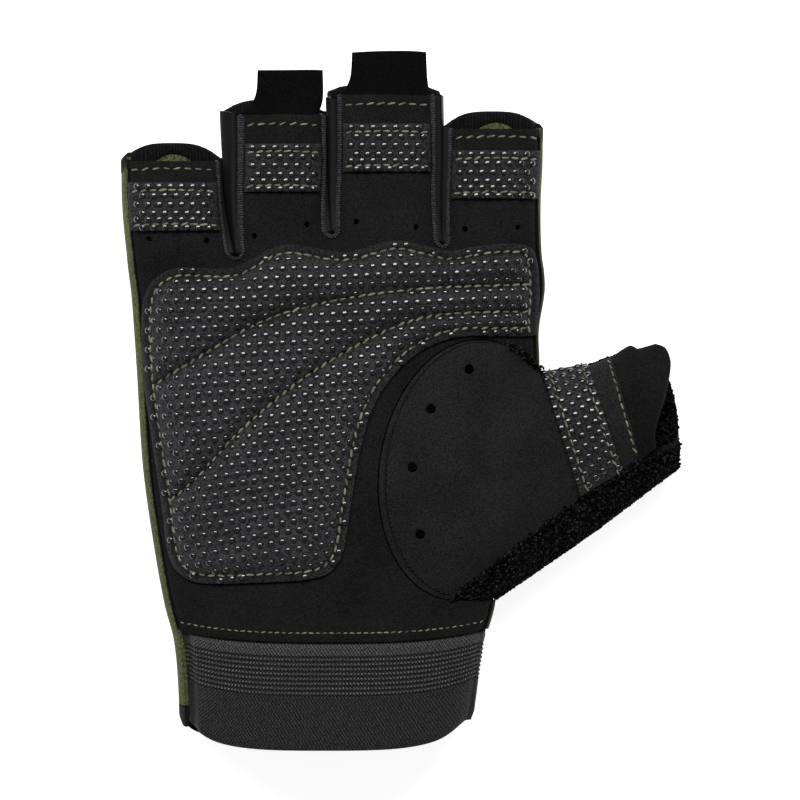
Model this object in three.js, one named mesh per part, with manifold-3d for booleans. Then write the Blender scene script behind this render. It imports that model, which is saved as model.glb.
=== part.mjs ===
// A fingerless weightlifting glove for the right hand, lying on its back with the palm up.
// Suede palm and thumb panels, a stretch-fabric back, side strips between the fingers, a quilted
// grip pad, grip patches, pull tabs and an elastic wrist band: each is a wall of its own.
// Millimetres. X runs across the hand towards the thumb, Y from the wrist seam to the fingertips,
// and Z up from the surface that the glove lies on.
import * as THREE from "three";
import { mergeVertices } from "three/addons/utils/BufferGeometryUtils.js";
import Module from "manifold-3d";

const wasm = await Module();
wasm.setup();
const { lerp, clamp, smoothstep, degToRad } = THREE.MathUtils;

// Driving sizes.
const PALM_WIDTH = 104;
const PALM_LENGTH = 97; // wrist seam to the crotches of the fingers
const WRIST_WIDTH = 72;
const HAND_HEIGHT = 30;
const FINGER_LENGTH = 39.5; // crotches to the hem of the longest finger
const CUFF_LENGTH = 27; // what shows below the wrist seam
const CUFF_TUCK = 4; // what is sewn in under the palm
const CLEARANCE = 0.35; // between neighbouring pieces

const SUEDE = 1.2;
const STRETCH_FABRIC = 1.2;
const SIDE_STRIP_WALL = 1.0;
const TERRY = 2.0;
const ELASTIC = 1.8;
const BINDING_WALL = 1.7;
const PAD_WALL = 2.4;
const GRIP_WALL = 1.0;
const TAB_WALL = 1.6;
const STRAP_WALL = 1.6;

const SLOT_WIDTH = 5; // between the suede of two fingers, at the crotch
const BACK_SLOT_WIDTH = 0.8; // between the backs of two fingers
const BACK_CROTCH_RISE = 1.6; // how much nearer to the tips the back parts
const SEAM_INSET = 1.8; // palm edge to silhouette, on the little finger's side
const THUMB_SIDE_INSET = 0.7; // the same on the index finger's side
const WRIST_SAG = 3; // how far the wrist seam sweeps towards the hand at its ends
const CUFF_SAG = 6.5;
const TIP_LIFT = 1.5;
const STRAP_ROOM = 2.1; // the back panel stands this far up over the closure strap

const BACK_OVERHANG = 4.9; // how far a finger's back reaches past its palm hem
const SIDE_OVERHANG = 0.9;
const BINDING_WIDTH = 4;
const HEM_WIDTH = 5.4; // palm hem to grip patch
const TAB_HEM_WIDTH = 7.4; // the same on a finger with a pull tab
const PATCH_LENGTH = 12;
const PATCH_INSET = 0.5;
const VENT_RADIUS = 0.75;
const THUMB_VENT_RADIUS = 1.2;

const STRAP_WIDTH = 21;
const STRAP_LENGTH = 68;
const STRAP_CENTRE_Y = -13;
const STRAP_TIP_RADIUS = 7;
const STRAP_PEEK = 0.2; // how far its tip shows beside the wrist
const BACK_TAIL = 16; // back fabric below the wrist seam
const WRIST_BINDING_WIDTH = 5;

const THUMB_HOLE_LOW = 10.2;
const THUMB_HOLE_HIGH = 67;
const THUMB_HOLE_LEVEL = 12; // of the hole's edge in the hand's side, at the crotch
const THUMB_SEAM = { x: 33.2, y: 42.8, left: 22, right: 25, up: 32.3, shear: 0.085 };
const THUMB_OUTER = { degrees: 36.9, length: 56 }; // outer edge, from the wrist end of the hole
const THUMB_INNER = { degrees: 10.5, length: 31 }; // inner edge, from the crotch
const THUMB_HEIGHT = 24.5;
const THUMB_DOME = 3.2; // how far the ball of the thumb swells
const THUMB_TAB = { inner: 14.5, outer: 4, turn: 16, flare: 2, curl: 1.5 };
const TERRY_SHARE = 0.787; // across the thumb, where suede meets terry

const QUILT_WIDTH = 1.4;
const QUILT_DEPTH = 0.9;

// Sections of the hand: at is a share of PALM_LENGTH, and past 1 of FINGER_LENGTH. spread runs from
// WRIST_WIDTH at 0 to PALM_WIDTH at 1, shift is a share of PALM_WIDTH, height of HAND_HEIGHT.
const HAND_SECTIONS = [
  { at: -0.28, spread: 0.03, shift: -0.024, height: 1.06 },
  { at: -0.15, spread: 0.08, shift: -0.0163, height: 1.05 },
  { at: 0.0, spread: 0.18, shift: -0.0125, height: 1.03 },
  { at: 0.09, spread: 0.328, shift: -0.012, height: 1.0 },
  { at: 0.25, spread: 0.47, shift: -0.0173, height: 1.0 },
  { at: 0.45, spread: 0.688, shift: -0.0096, height: 1.0 },
  { at: 0.69, spread: 0.89, shift: 0.0072, height: 0.97 },
  { at: 0.8, spread: 0.913, shift: 0.0038, height: 0.94 },
  { at: 0.9, spread: 0.984, shift: 0.0072, height: 0.91 },
  { at: 0.95, spread: 1.0, shift: 0.0036, height: 0.89 },
  { at: 1.0, spread: 0.995, shift: -0.0019, height: 0.87 },
  { at: 1.3, spread: 1.023, shift: -0.0084, height: 0.8 },
  { at: 1.6, spread: 1.047, shift: -0.0072, height: 0.76 },
  { at: 2.0, spread: 1.06, shift: -0.0096, height: 0.74 },
];

// Fingers: length is a share of FINGER_LENGTH, overhang of BACK_OVERHANG.
const FINGERS = [
  { name: "pinky", length: 0.577, overhang: 1.0 },
  { name: "ring", length: 0.873, overhang: 0.84, tab: "ring" },
  { name: "middle", length: 1.0, overhang: 0.46, tab: "middle" },
  { name: "index", length: 0.78, overhang: 0.98 },
];
// Slots between fingers, each on the thumb side of the finger of its row. Root is at the crotch
// and tip at the longest hem: place is a share across the hand, left and right are the palm's
// edges on both sides of it, in shares of SLOT_WIDTH. crotch is a share of PALM_LENGTH.
const SLOTS = [
  {
    crotch: 0.979,
    root: { place: 0.2635, left: 0.5, right: 0.46 },
    tip: { place: 0.2365, left: 0.25, right: 1.2 },
  },
  {
    crotch: 1.035,
    root: { place: 0.5, left: 0.54, right: 0.4 },
    tip: { place: 0.487, left: 0.2, right: 0.82 },
  },
  {
    crotch: 1.009,
    root: { place: 0.762, left: 0.4, right: 0.4 },
    tip: { place: 0.762, left: 0.58, right: 0.48 },
  },
];
const OUTER_CROTCHES = [0.985, 1.015]; // where the outer fingers' rows end at the hand's sides
const CROTCH_BUMP = 0.04; // share of PALM_LENGTH that a finger's root rises between its slots
const VENT_SHARES = [-0.27, 0.27]; // across a finger, of its width
const VENT_RISE = 4.6; // above the crotch line

// Pull tabs: width and length as sizes, shift across the finger, flare of the root as a share.
const PULL_TABS = {
  ring: { width: 16.5, length: 11, shift: 4.5, flare: 0.2 },
  middle: { width: 18.7, length: 10.4, shift: 1.4, flare: 0.18 },
};

// Stations along the thumb: inner and outer are shares of the two edges' lengths, height of
// THUMB_HEIGHT, and so are lift and flare, which raises the inner edge. bow curves the section
// outwards, as a share of its width.
const THUMB_STATIONS = [
  { inner: 0.0, outer: 0.507, height: 1.0, lift: 0.03 },
  { inner: 0.373, outer: 0.735, height: 0.96, lift: 0.035 },
  { inner: 0.57, outer: 0.828, height: 0.93, lift: 0.04, flare: 0.045 },
  { inner: 0.8, outer: 0.92, height: 0.9, lift: 0.05, flare: 0.04, bow: 0.03 },
  { inner: 0.97, outer: 1.0, height: 0.88, lift: 0.06, bow: 0.07 },
];
const THUMB_VENTS = [
  { x: 0.645, y: 0.699 },
  { x: 0.462, y: 0.598 },
  { x: 0.373, y: 0.447 },
  { x: 0.41, y: 0.276 },
];

// The pad's outline and its two sewn channels: x is a share of half PALM_WIDTH, y of PALM_LENGTH.
const PAD_OUTLINE = [
  { x: -0.92, y: 0.84 }, { x: -0.88, y: 0.92 }, { x: -0.76, y: 0.959 }, { x: -0.55, y: 0.957 },
  { x: -0.45, y: 0.966 }, { x: -0.31, y: 1.007 }, { x: -0.2, y: 1.018 }, { x: -0.01, y: 1.001 },
  { x: 0.1, y: 1.004 }, { x: 0.28, y: 1.029 }, { x: 0.4, y: 1.02 }, { x: 0.55, y: 1.003 },
  { x: 0.68, y: 1.015 }, { x: 0.83, y: 1.022 }, { x: 0.93, y: 1.014 }, { x: 0.965, y: 0.975 },
  { x: 0.975, y: 0.9 }, { x: 0.965, y: 0.81 }, { x: 0.95, y: 0.787 }, { x: 0.78, y: 0.784 },
  { x: 0.62, y: 0.784 }, { x: 0.47, y: 0.762 }, { x: 0.35, y: 0.72 }, { x: 0.24, y: 0.655 },
  { x: 0.165, y: 0.575 }, { x: 0.115, y: 0.47 }, { x: 0.075, y: 0.34 }, { x: 0.045, y: 0.24 },
  { x: -0.01, y: 0.185 }, { x: -0.12, y: 0.161 }, { x: -0.35, y: 0.153 }, { x: -0.6, y: 0.15 },
  { x: -0.72, y: 0.168 }, { x: -0.79, y: 0.225 }, { x: -0.825, y: 0.36 }, { x: -0.87, y: 0.52 },
  { x: -0.91, y: 0.68 },
];
const QUILT_LINES = [
  [
    { x: -0.875, y: 0.655 }, { x: -0.69, y: 0.716 }, { x: -0.35, y: 0.82 }, { x: -0.01, y: 0.874 },
    { x: 0.41, y: 0.905 }, { x: 0.96, y: 0.918 },
  ],
  [
    { x: -0.81, y: 0.35 }, { x: -0.65, y: 0.425 }, { x: -0.44, y: 0.546 }, { x: -0.12, y: 0.686 },
    { x: 0.25, y: 0.798 }, { x: 0.52, y: 0.839 }, { x: 0.96, y: 0.848 },
  ],
];

// Section curves: the exponents of the superellipses, and the share of the width that lies flat.
const BODY_SHAPE = { top: 2.5, under: 2.2, flat: 0.68 };
const FINGER_SHAPE = { top: 2.6, under: 2.2, flat: 0.45 };
const THUMB_SHAPE = { top: 2.2, under: 2.6 };
const MIDDLE_SHARE = 0.48; // height of the silhouette line
const SLOT_CROWN = 0.88; // where a slot's middle lies on a finger's section
const BLEND_BELOW = 14; // hand section turns into finger sections over this
const BLEND_ABOVE = 9;

// Meshing.
const PALM_COLUMNS = {
  outer: [0, 0.05, 0.14, 0.3, 0.5, 0.75, 1],
  inner: [0, 0.14, 0.36, 0.64, 0.86, 1],
};
const BACK_COLUMNS = {
  outer: [0, 0.5, 0.8, 1],
  inner: [0, 0.2, 0.5, 0.8, 1],
};
const PALM_ROWS = [0, 0.05, 0.105, 0.2, 0.31, 0.43, 0.56, 0.69, 0.77, 0.85, 0.91, 0.96, 1];
const SLOT_TURN_STEPS = 3;
const DRILL_SIDES = 6;
const FINGER_STEPS = 5;
const ROWS_BEND_FROM = 0.72;

// Reads one column of a table at a place along it, as a smooth curve through its rows.
function readTable(table, at, column) {
  const last = table.length - 1;
  const place = clamp(at, table[0].at, table[last].at);
  let i = 0;
  while (i < last - 1 && place > table[i + 1].at) i++;
  const slope = (k) => {
    const before = table[Math.max(k - 1, 0)];
    const after = table[Math.min(k + 1, last)];
    return (after[column] - before[column]) / (after.at - before.at);
  };
  const span = table[i + 1].at - table[i].at;
  const t = (place - table[i].at) / span;
  return (
    (2 * t ** 3 - 3 * t ** 2 + 1) * table[i][column] +
    (t ** 3 - 2 * t ** 2 + t) * span * slope(i) +
    (3 * t ** 2 - 2 * t ** 3) * table[i + 1][column] +
    (t ** 3 - t ** 2) * span * slope(i + 1)
  );
}

// The hand's section at a place along it: edges, height and the level of its underside.
function handAt(y) {
  const at = y <= PALM_LENGTH ? y / PALM_LENGTH : 1 + (y - PALM_LENGTH) / FINGER_LENGTH;
  const half = lerp(WRIST_WIDTH, PALM_WIDTH, readTable(HAND_SECTIONS, at, "spread")) / 2;
  const centre = PALM_WIDTH * readTable(HAND_SECTIONS, at, "shift");
  const top = HAND_HEIGHT * readTable(HAND_SECTIONS, at, "height");
  const tip = smoothstep(y, PALM_LENGTH, PALM_LENGTH + FINGER_LENGTH);
  const floor = STRAP_ROOM * (1 - smoothstep(y, 0, THUMB_HOLE_LOW)) + TIP_LIFT * tip;
  return {
    left: centre - half,
    right: centre + half,
    centre,
    half,
    top,
    floor,
    middle: lerp(floor, top, MIDDLE_SHARE),
  };
}

// Where a slot runs at a place along it, and where its finger and the next end on it. depth is 0
// for the palm's edges and 1 for the back's.
const lastFinger = FINGERS.length - 1;
function slotAt(k, y, depth = 0) {
  const { root, tip, crotch } = SLOTS[k];
  const t = clamp((y - crotch * PALM_LENGTH) / FINGER_LENGTH, 0, 1);
  const spread = 1 - (1 - t) ** 2;
  const hand = handAt(y);
  const x = lerp(hand.left, hand.right, lerp(root.place, tip.place, spread));
  const reach = (key) => lerp(SLOT_WIDTH * lerp(root[key], tip[key], spread), BACK_SLOT_WIDTH / 2, depth);
  return { x, left: reach("left"), right: reach("right") };
}
const slotX = (k, y) => slotAt(k, y).x;
const slotCrotch = (k) => SLOTS[k].crotch * PALM_LENGTH;
const hemY = (f) => PALM_LENGTH + FINGERS[f].length * FINGER_LENGTH;
function slotRoot(k) {
  if (k < 0) return OUTER_CROTCHES[0];
  return k === lastFinger ? OUTER_CROTCHES[1] : SLOTS[k].crotch;
}

// Where the fingers part, over one finger: down in the slots, up at the root. t runs across it.
const crotchLine = (f, t) =>
  PALM_LENGTH * (lerp(slotRoot(f - 1), slotRoot(f), t) + CROTCH_BUMP * Math.sin(Math.PI * t));

// One finger's section: centre, edges, and the reach of each half of its curve.
function fingerAt(f, y) {
  const hand = handAt(y);
  const left = f ? slotX(f - 1, y) : hand.left;
  const right = f < lastFinger ? slotX(f, y) : hand.right;
  const centre = (left + right) / 2;
  const half = (right - left) / 2;
  return {
    left,
    right,
    centre,
    half,
    reachLeft: f ? half / SLOT_CROWN : half,
    reachRight: f < lastFinger ? half / SLOT_CROWN : half,
  };
}

const crown = (w, power) => (1 - Math.min(Math.abs(w), 1) ** power) ** (1 / power);
const sag = (w, shape) => 1 - crown(clamp((w - shape.flat) / (1 - shape.flat), 0, 1), shape.under);

const fingerOf = (x, y) => {
  let f = 0;
  while (f < lastFinger && x > slotX(f, y)) f++;
  return f;
};
function fingerPlace(x, y) {
  const finger = fingerAt(fingerOf(x, y), y);
  const reach = x < finger.centre ? finger.reachLeft : finger.reachRight;
  return Math.abs(x - finger.centre) / reach;
}

// How far the hand's one section has turned into the fingers' own, from 0 to 1.
function fingerShare(x, y) {
  const f = fingerOf(x, y);
  const finger = fingerAt(f, y);
  const t = clamp((x - finger.left) / (finger.right - finger.left), 0, 1);
  return smoothstep(y, crotchLine(f, t) - BLEND_BELOW, crotchLine(f, t) + BLEND_ABOVE);
}

// Height of the glove's outer face over a point, on the palm side and on the back.
function palmTop(x, y) {
  const hand = handAt(y);
  const body = crown((x - hand.centre) / hand.half, BODY_SHAPE.top);
  const finger = crown(fingerPlace(x, y), FINGER_SHAPE.top);
  return lerp(hand.middle, hand.top, lerp(body, finger, fingerShare(x, y)));
}
function backUnder(x, y) {
  const hand = handAt(y);
  const body = sag(Math.abs(x - hand.centre) / hand.half, BODY_SHAPE);
  const finger = sag(fingerPlace(x, y), FINGER_SHAPE);
  return lerp(hand.floor, hand.middle, lerp(body, finger, fingerShare(x, y)));
}

// A point on the rounded side of the hand: turn is -1 where the flat underside ends, 0 at the
// silhouette and 1 at the palm's side seam. side is -1 on the little finger's side, 1 on the other.
function sidePoint(side, y, turn) {
  const hand = handAt(y);
  const edge = side < 0 ? hand.left : hand.right;
  const inset = side < 0 ? SEAM_INSET : THUMB_SIDE_INSET;
  const finger = fingerAt(side < 0 ? 0 : lastFinger, y);
  const onCurve = (half, shape) => {
    if (turn <= 0) {
      const angle = (1 + turn) * (Math.PI / 2);
      const out = Math.sin(angle) ** (2 / shape.under);
      const z = lerp(hand.floor, hand.middle, 1 - Math.max(Math.cos(angle), 0) ** (2 / shape.under));
      return new THREE.Vector3(edge - side * half * (1 - shape.flat) * (1 - out), y, z);
    }
    const seamAngle = Math.acos((1 - inset / half) ** (shape.top / 2));
    const angle = turn * seamAngle;
    const out = Math.cos(angle) ** (2 / shape.top);
    const z = lerp(hand.middle, hand.top, Math.sin(angle) ** (2 / shape.top));
    return new THREE.Vector3(edge - side * half * (1 - out), y, z);
  };
  const share = fingerShare(edge, y);
  return onCurve(hand.half, BODY_SHAPE).lerp(onCurve(finger.half, FINGER_SHAPE), share);
}

// Rows across the hand: straight over most of the palm, and bent to the crotches near them.
function rowY(share, f, t, rise) {
  const bend = smoothstep(share, ROWS_BEND_FROM, 1);
  return share * PALM_LENGTH + (crotchLine(f, t) + rise - PALM_LENGTH) * bend;
}
// The wrist seam and the rows of the cuff sweep towards the hand at both ends.
function sweep(y, x) {
  const hand = handAt(y);
  const w = clamp(Math.abs(x - hand.centre) / hand.half, 0, 1);
  const atSeam = (1 - smoothstep(y, 0, THUMB_HOLE_LOW * 0.6)) * WRIST_SAG * w ** 3;
  const atCuff = clamp(-y / CUFF_LENGTH, 0, 1) * (CUFF_SAG - WRIST_SAG) * w ** 5;
  return atSeam + atCuff;
}

// An open surface of triangles that becomes a wall.
class Surface {
  constructor() {
    this.points = [];
    this.faces = [];
    this.ghosts = [];
    this.known = new Map();
  }
  add(point) {
    const key = point.toArray().map((c) => c.toFixed(3)).join();
    if (!this.known.has(key)) {
      this.known.set(key, this.points.length);
      this.points.push(point.clone());
    }
    return this.known.get(key);
  }
  // rows holds lists of points; keep says which cells are made, and the others only shape the
  // normals beside them; flip turns the faces round.
  grid(rows, { flip = false, keep = () => true } = {}) {
    const ids = rows.map((row) => row.map((point) => this.add(point)));
    for (let i = 0; i + 1 < ids.length; i++)
      for (let j = 0; j + 1 < ids[i].length; j++) {
        const corners = [ids[i][j], ids[i][j + 1], ids[i + 1][j + 1], ids[i + 1][j]];
        if (flip) corners.reverse();
        const [a, b, c, d] = corners;
        for (const face of [[a, b, c], [a, c, d]])
          if (new Set(face).size === 3) (keep(i, j) ? this.faces : this.ghosts).push(face);
      }
    return this;
  }
  normals() {
    const sums = this.points.map(() => new THREE.Vector3());
    for (const face of [...this.faces, ...this.ghosts]) {
      const [a, b, c] = face.map((i) => this.points[i]);
      const normal = b.clone().sub(a).cross(c.clone().sub(a));
      face.forEach((i) => sums[i].add(normal));
    }
    return sums.map((sum) => sum.normalize());
  }
  // The wall between two offsets along the normals, closed along the surface's edges. offsets gives
  // both for a point: the outer first.
  wall(offsets) {
    const normals = this.normals();
    const count = this.points.length;
    const at = (side) =>
      this.points.flatMap((p, i) => p.clone().addScaledVector(normals[i], offsets(p)[side]).toArray());
    const index = [];
    const edges = new Set(this.faces.flatMap(([a, b, c]) => [`${a},${b}`, `${b},${c}`, `${c},${a}`]));
    for (const [a, b, c] of this.faces) {
      index.push(a, b, c, c + count, b + count, a + count);
      for (const [from, to] of [[a, b], [b, c], [c, a]])
        if (!edges.has(`${to},${from}`)) index.push(to, from, from + count, to, from + count, to + count);
    }
    const geometry = new THREE.BufferGeometry();
    geometry.setAttribute("position", new THREE.Float32BufferAttribute([...at(0), ...at(1)], 3));
    geometry.setIndex(index);
    return geometry;
  }
  thicken(outer, inner) {
    return this.wall(() => [outer, inner]);
  }
}

// Booleans.
function solidOf(geometry) {
  const bare = geometry.clone();
  bare.deleteAttribute("normal");
  bare.deleteAttribute("uv");
  const merged = mergeVertices(bare, 1e-4);
  return new wasm.Manifold(
    new wasm.Mesh({
      numProp: 3,
      vertProperties: merged.attributes.position.array,
      triVerts: new Uint32Array(merged.index.array),
    }),
  );
}
function geometryOf(solid) {
  const mesh = solid.getMesh();
  const geometry = new THREE.BufferGeometry();
  geometry.setAttribute("position", new THREE.BufferAttribute(mesh.vertProperties, 3));
  geometry.setIndex(new THREE.BufferAttribute(mesh.triVerts, 1));
  return geometry;
}
function prism(points, low, high) {
  const shape = new THREE.Shape(points.map((p) => new THREE.Vector2(p.x, p.y)));
  const depth = high - low;
  const geometry = new THREE.ExtrudeGeometry(shape, { depth, bevelEnabled: false, curveSegments: 1 });
  return solidOf(geometry.translate(0, 0, low));
}
function drill(x, y, radius) {
  const geometry = new THREE.CylinderGeometry(radius, radius, HAND_HEIGHT, DRILL_SIDES);
  return solidOf(geometry.rotateX(Math.PI / 2).translate(x, y, palmTop(x, y)));
}

// The seam round the ball of the thumb: a sheared ellipse, from the crotch over the top to the wrist
// end. grow moves it outwards.
const SEAM_START = Math.asin((THUMB_HOLE_HIGH - SUEDE - THUMB_SEAM.y) / THUMB_SEAM.up);
const SEAM_END = Math.PI * 1.48;
function thumbSeam(share, grow = 0) {
  const angle = lerp(SEAM_START, SEAM_END, share);
  const reach = (Math.cos(angle) > 0 ? THUMB_SEAM.right : THUMB_SEAM.left) + grow;
  const up = (THUMB_SEAM.up + grow) * Math.sin(angle);
  return new THREE.Vector2(
    THUMB_SEAM.x + THUMB_SEAM.shear * up + reach * Math.cos(angle),
    THUMB_SEAM.y + up,
  );
}
const SEAM_STEPS = 22;

// What the thumb takes out of the palm and out of the hand's side, from a level upwards.
function thumbHole(level) {
  const reachOut = PALM_WIDTH;
  const arc = Array.from({ length: SEAM_STEPS + 1 }, (_, i) => thumbSeam(i / SEAM_STEPS, CLEARANCE));
  const low = new THREE.Vector2(reachOut, arc[SEAM_STEPS].y);
  const high = new THREE.Vector2(reachOut, THUMB_HOLE_HIGH);
  const start = new THREE.Vector2(arc[0].x, THUMB_HOLE_HIGH);
  return prism([start, ...arc.slice(1), low, high], level, 2 * HAND_HEIGHT);
}

// How much of a slot's width is open at a rise above its crotch, round the turn of its end.
const slotOpening = (rise, radius) =>
  rise >= radius ? 1 : Math.sqrt(Math.max(1 - (1 - rise / radius) ** 2, 0));
// Places along a finger's edge above its crotch: the turn of the slot, then even steps.
function risesTo(length, radius) {
  const turn = Array.from({ length: SLOT_TURN_STEPS + 1 }, (_, i) =>
    radius * (1 - Math.cos((i / SLOT_TURN_STEPS) * (Math.PI / 2))),
  );
  const rest = Array.from({ length: FINGER_STEPS }, (_, i) =>
    lerp(radius, length, (i + 1) / FINGER_STEPS),
  );
  return [...turn, ...rest];
}
const PALM_SIDE = { depth: 0, rise: 0, radius: SLOT_WIDTH / 2, columns: PALM_COLUMNS };
const BACK_SIDE = { depth: 1, rise: BACK_CROTCH_RISE, radius: BACK_SLOT_WIDTH / 2, columns: BACK_COLUMNS };
const columnsOf = (f, columns) => {
  if (f === 0) return columns.outer;
  return f === lastFinger ? columns.outer.map((c) => 1 - c).reverse() : columns.inner;
};

// A point on a slot's edge, on the side of the finger before it (-1) or after it (1).
function slotEdge(k, side, y, layer, opening = 1) {
  const slot = slotAt(k, y, layer.depth);
  return slot.x + (side < 0 ? -slot.left : slot.right) * opening;
}
// The rows along a finger: how far along it each is, and how wide its slots are open there.
function rowsAlong(f, layer) {
  const length = FINGERS[f].length * FINGER_LENGTH;
  return risesTo(length, layer.radius).map((rise) => ({
    share: rise / length,
    opening: slotOpening(rise, layer.radius),
  }));
}

// Plan points of one finger's palm or back. edges are the hand's side edges of that layer, and
// reach(f, x) how far the piece goes past the hem.
function fingerRows(f, layer, edges, reach) {
  const leftAt = (y, opening) => (f ? slotEdge(f - 1, 1, y, layer, opening) : edges.left(y));
  const rightAt = (y, opening) => (f < lastFinger ? slotEdge(f, -1, y, layer, opening) : edges.right(y));
  const hem = hemY(f);
  return rowsAlong(f, layer).map(({ share, opening }) =>
    columnsOf(f, layer.columns).map((column) => {
      const end = hem + reach(f, lerp(leftAt(hem), rightAt(hem), column));
      const y = lerp(crotchLine(f, column) + layer.rise, end, share);
      return { x: lerp(leftAt(y, opening), rightAt(y, opening), column), y };
    }),
  );
}
const palmEdges = {
  left: (y) => handAt(y).left + SEAM_INSET,
  right: (y) => handAt(y).right - THUMB_SIDE_INSET,
};
const flatEdges = {
  left: (y) => sidePoint(-1, y, -1).x,
  right: (y) => sidePoint(1, y, -1).x,
};

// Plan points of a row across the whole hand, between two edges.
function handRow(share, layer, edges) {
  return FINGERS.flatMap((_, f) =>
    columnsOf(f, layer.columns).slice(f ? 1 : 0).map((column) => {
      const y = rowY(share, f, column, layer.rise);
      const left = f ? slotX(f - 1, y) : edges.left(y);
      const right = f < lastFinger ? slotX(f, y) : edges.right(y);
      return { x: lerp(left, right, column), y };
    }),
  );
}
const swept = ({ x, y }) => ({ x, y: y + sweep(y, x) });
const onPalm = ({ x, y }) => new THREE.Vector3(x, y, palmTop(x, y));
const onBack = ({ x, y }) => new THREE.Vector3(x, y, backUnder(x, y));

// Turns of the side wall, from the flat underside to the palm's seam, and one beyond each seam.
const SIDE_TURNS = [-0.7, -0.45, -0.2, 0.05, 0.4, 0.72, 0.92];
const BEYOND_SEAM_TURN = 0.65;
const besidePalm = (side, y) => sidePoint(side, y, BEYOND_SEAM_TURN);
const besideWall = (side, y) => {
  const x = (side < 0 ? palmEdges.left(y) : palmEdges.right(y)) - side * SEAM_INSET;
  return new THREE.Vector3(x, y, palmTop(x, y));
};

// The suede palm with the fronts of its four fingers, cut out round the thumb and vented.
const noReach = () => 0;
function palmRow(points) {
  return [besidePalm(-1, points[0].y), ...points.map(onPalm), besidePalm(1, points.at(-1).y)];
}
function palmSurface(shares, sweepWrist) {
  const rows = shares.map((share) => {
    const row = handRow(share, PALM_SIDE, palmEdges);
    return palmRow(sweepWrist ? row.map(swept) : row);
  });
  const last = rows[0].length - 2;
  return new Surface().grid(rows, { keep: (i, j) => j > 0 && j < last });
}
function palmPanel() {
  const surface = palmSurface(PALM_ROWS, true);
  FINGERS.forEach((_, f) => {
    const rows = fingerRows(f, PALM_SIDE, palmEdges, noReach).map((row) => [
      ...(f === 0 ? [besidePalm(-1, row[0].y)] : []),
      ...row.map(onPalm),
      ...(f === lastFinger ? [besidePalm(1, row.at(-1).y)] : []),
    ]);
    const last = rows[0].length - 2;
    surface.grid(rows, { keep: (i, j) => (f > 0 || j > 0) && (f < lastFinger || j < last) });
  });
  let solid = solidOf(surface.thicken(0, -SUEDE)).subtract(thumbHole(0));
  FINGERS.forEach((_, f) => {
    for (const share of VENT_SHARES) {
      const y = crotchLine(f, 0.5 + share) + VENT_RISE * 0.5;
      const span = fingerAt(f, y);
      solid = solid.subtract(drill(span.centre + share * 2 * span.half, y, VENT_RADIUS));
    }
  });
  return geometryOf(solid);
}

const THUMB_SEAM_TURN = 2; // the back panel ends at this turn round the thumb hole
const thumbSeamColumn = (row) => row.length - 1 - SIDE_TURNS.length + THUMB_SEAM_TURN;
// The points up a side wall; rowAt gives the place along the hand at each turn.
const leftWall = (rowAt) => [...SIDE_TURNS].reverse().map((turn) => sidePoint(-1, rowAt(turn), turn));
const rightWall = (rowAt) => SIDE_TURNS.map((turn) => sidePoint(1, rowAt(turn), turn));

const BACK_ROWS = [
  -BACK_TAIL / PALM_LENGTH, 0, WRIST_SAG / PALM_LENGTH, THUMB_HOLE_LOW / PALM_LENGTH,
  0.2, 0.32, 0.45, 0.58, THUMB_HOLE_HIGH / PALM_LENGTH, 0.77, 0.85, 0.92, 1,
];
// How far a finger's back reaches past the palm hem, by place across it.
function overhang(f, x) {
  const finger = fingerAt(f, hemY(f));
  const w = clamp(Math.abs(x - finger.centre) / finger.half, 0, 1);
  return lerp(BACK_OVERHANG * FINGERS[f].overhang, SIDE_OVERHANG, w ** 3);
}

// Rows of one finger's back, with the hand's side wall on an outer finger.
function fingerBackRows(f, reach) {
  const along = rowsAlong(f, BACK_SIDE);
  return fingerRows(f, BACK_SIDE, flatEdges, reach).map((row, i) => {
    const wallY = (side) => (turn) => {
      const end = hemY(f) + reach(f, sidePoint(side, hemY(f), turn).x);
      return lerp(crotchLine(f, side < 0 ? 0 : 1) + BACK_SIDE.rise, end, along[i].share);
    };
    const flat = row.map(onBack);
    if (f === 0) return [besideWall(-1, wallY(-1)(1)), ...leftWall(wallY(-1)), ...flat];
    if (f === lastFinger) return [...flat, ...rightWall(wallY(1)), besideWall(1, wallY(1)(1))];
    return flat;
  });
}
const keepBack = (f, rows) => {
  const last = rows[0].length - 2;
  return (i, j) => (f > 0 || j > 0) && (f < lastFinger || j < last);
};

// The stretch-fabric back: flat where it rests, wrapped up the sides to the palm's seams.
function backRow(share) {
  const row = handRow(share, BACK_SIDE, flatEdges);
  const left = row[0].y;
  const right = row.at(-1).y;
  return [
    besideWall(-1, left),
    ...leftWall(() => left),
    ...row.map(onBack),
    ...rightWall(() => right),
    besideWall(1, right),
  ];
}
function backPanel() {
  const surface = new Surface();
  const rows = BACK_ROWS.map(backRow);
  const last = rows[0].length - 2;
  const seamColumn = thumbSeamColumn(rows[0]);
  const seamRow = BACK_ROWS.indexOf(WRIST_SAG / PALM_LENGTH);
  const lowRow = BACK_ROWS.indexOf(THUMB_HOLE_LOW / PALM_LENGTH);
  const highRow = BACK_ROWS.indexOf(THUMB_HOLE_HIGH / PALM_LENGTH);
  const besideThumb = (i) => i < seamRow || (i >= lowRow && i < highRow);
  const keep = (i, j) => j > 0 && j < (besideThumb(i) ? seamColumn : last);
  surface.grid(rows, { flip: true, keep });
  FINGERS.forEach((_, f) => {
    const reach = (finger, x) => overhang(finger, x) - BINDING_WIDTH - CLEARANCE;
    const rowsOfFinger = fingerBackRows(f, reach);
    surface.grid(rowsOfFinger, { flip: true, keep: keepBack(f, rowsOfFinger) });
  });
  return geometryOf(solidOf(surface.thicken(0, -STRETCH_FABRIC)).subtract(thumbHole(THUMB_HOLE_LEVEL)));
}

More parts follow.
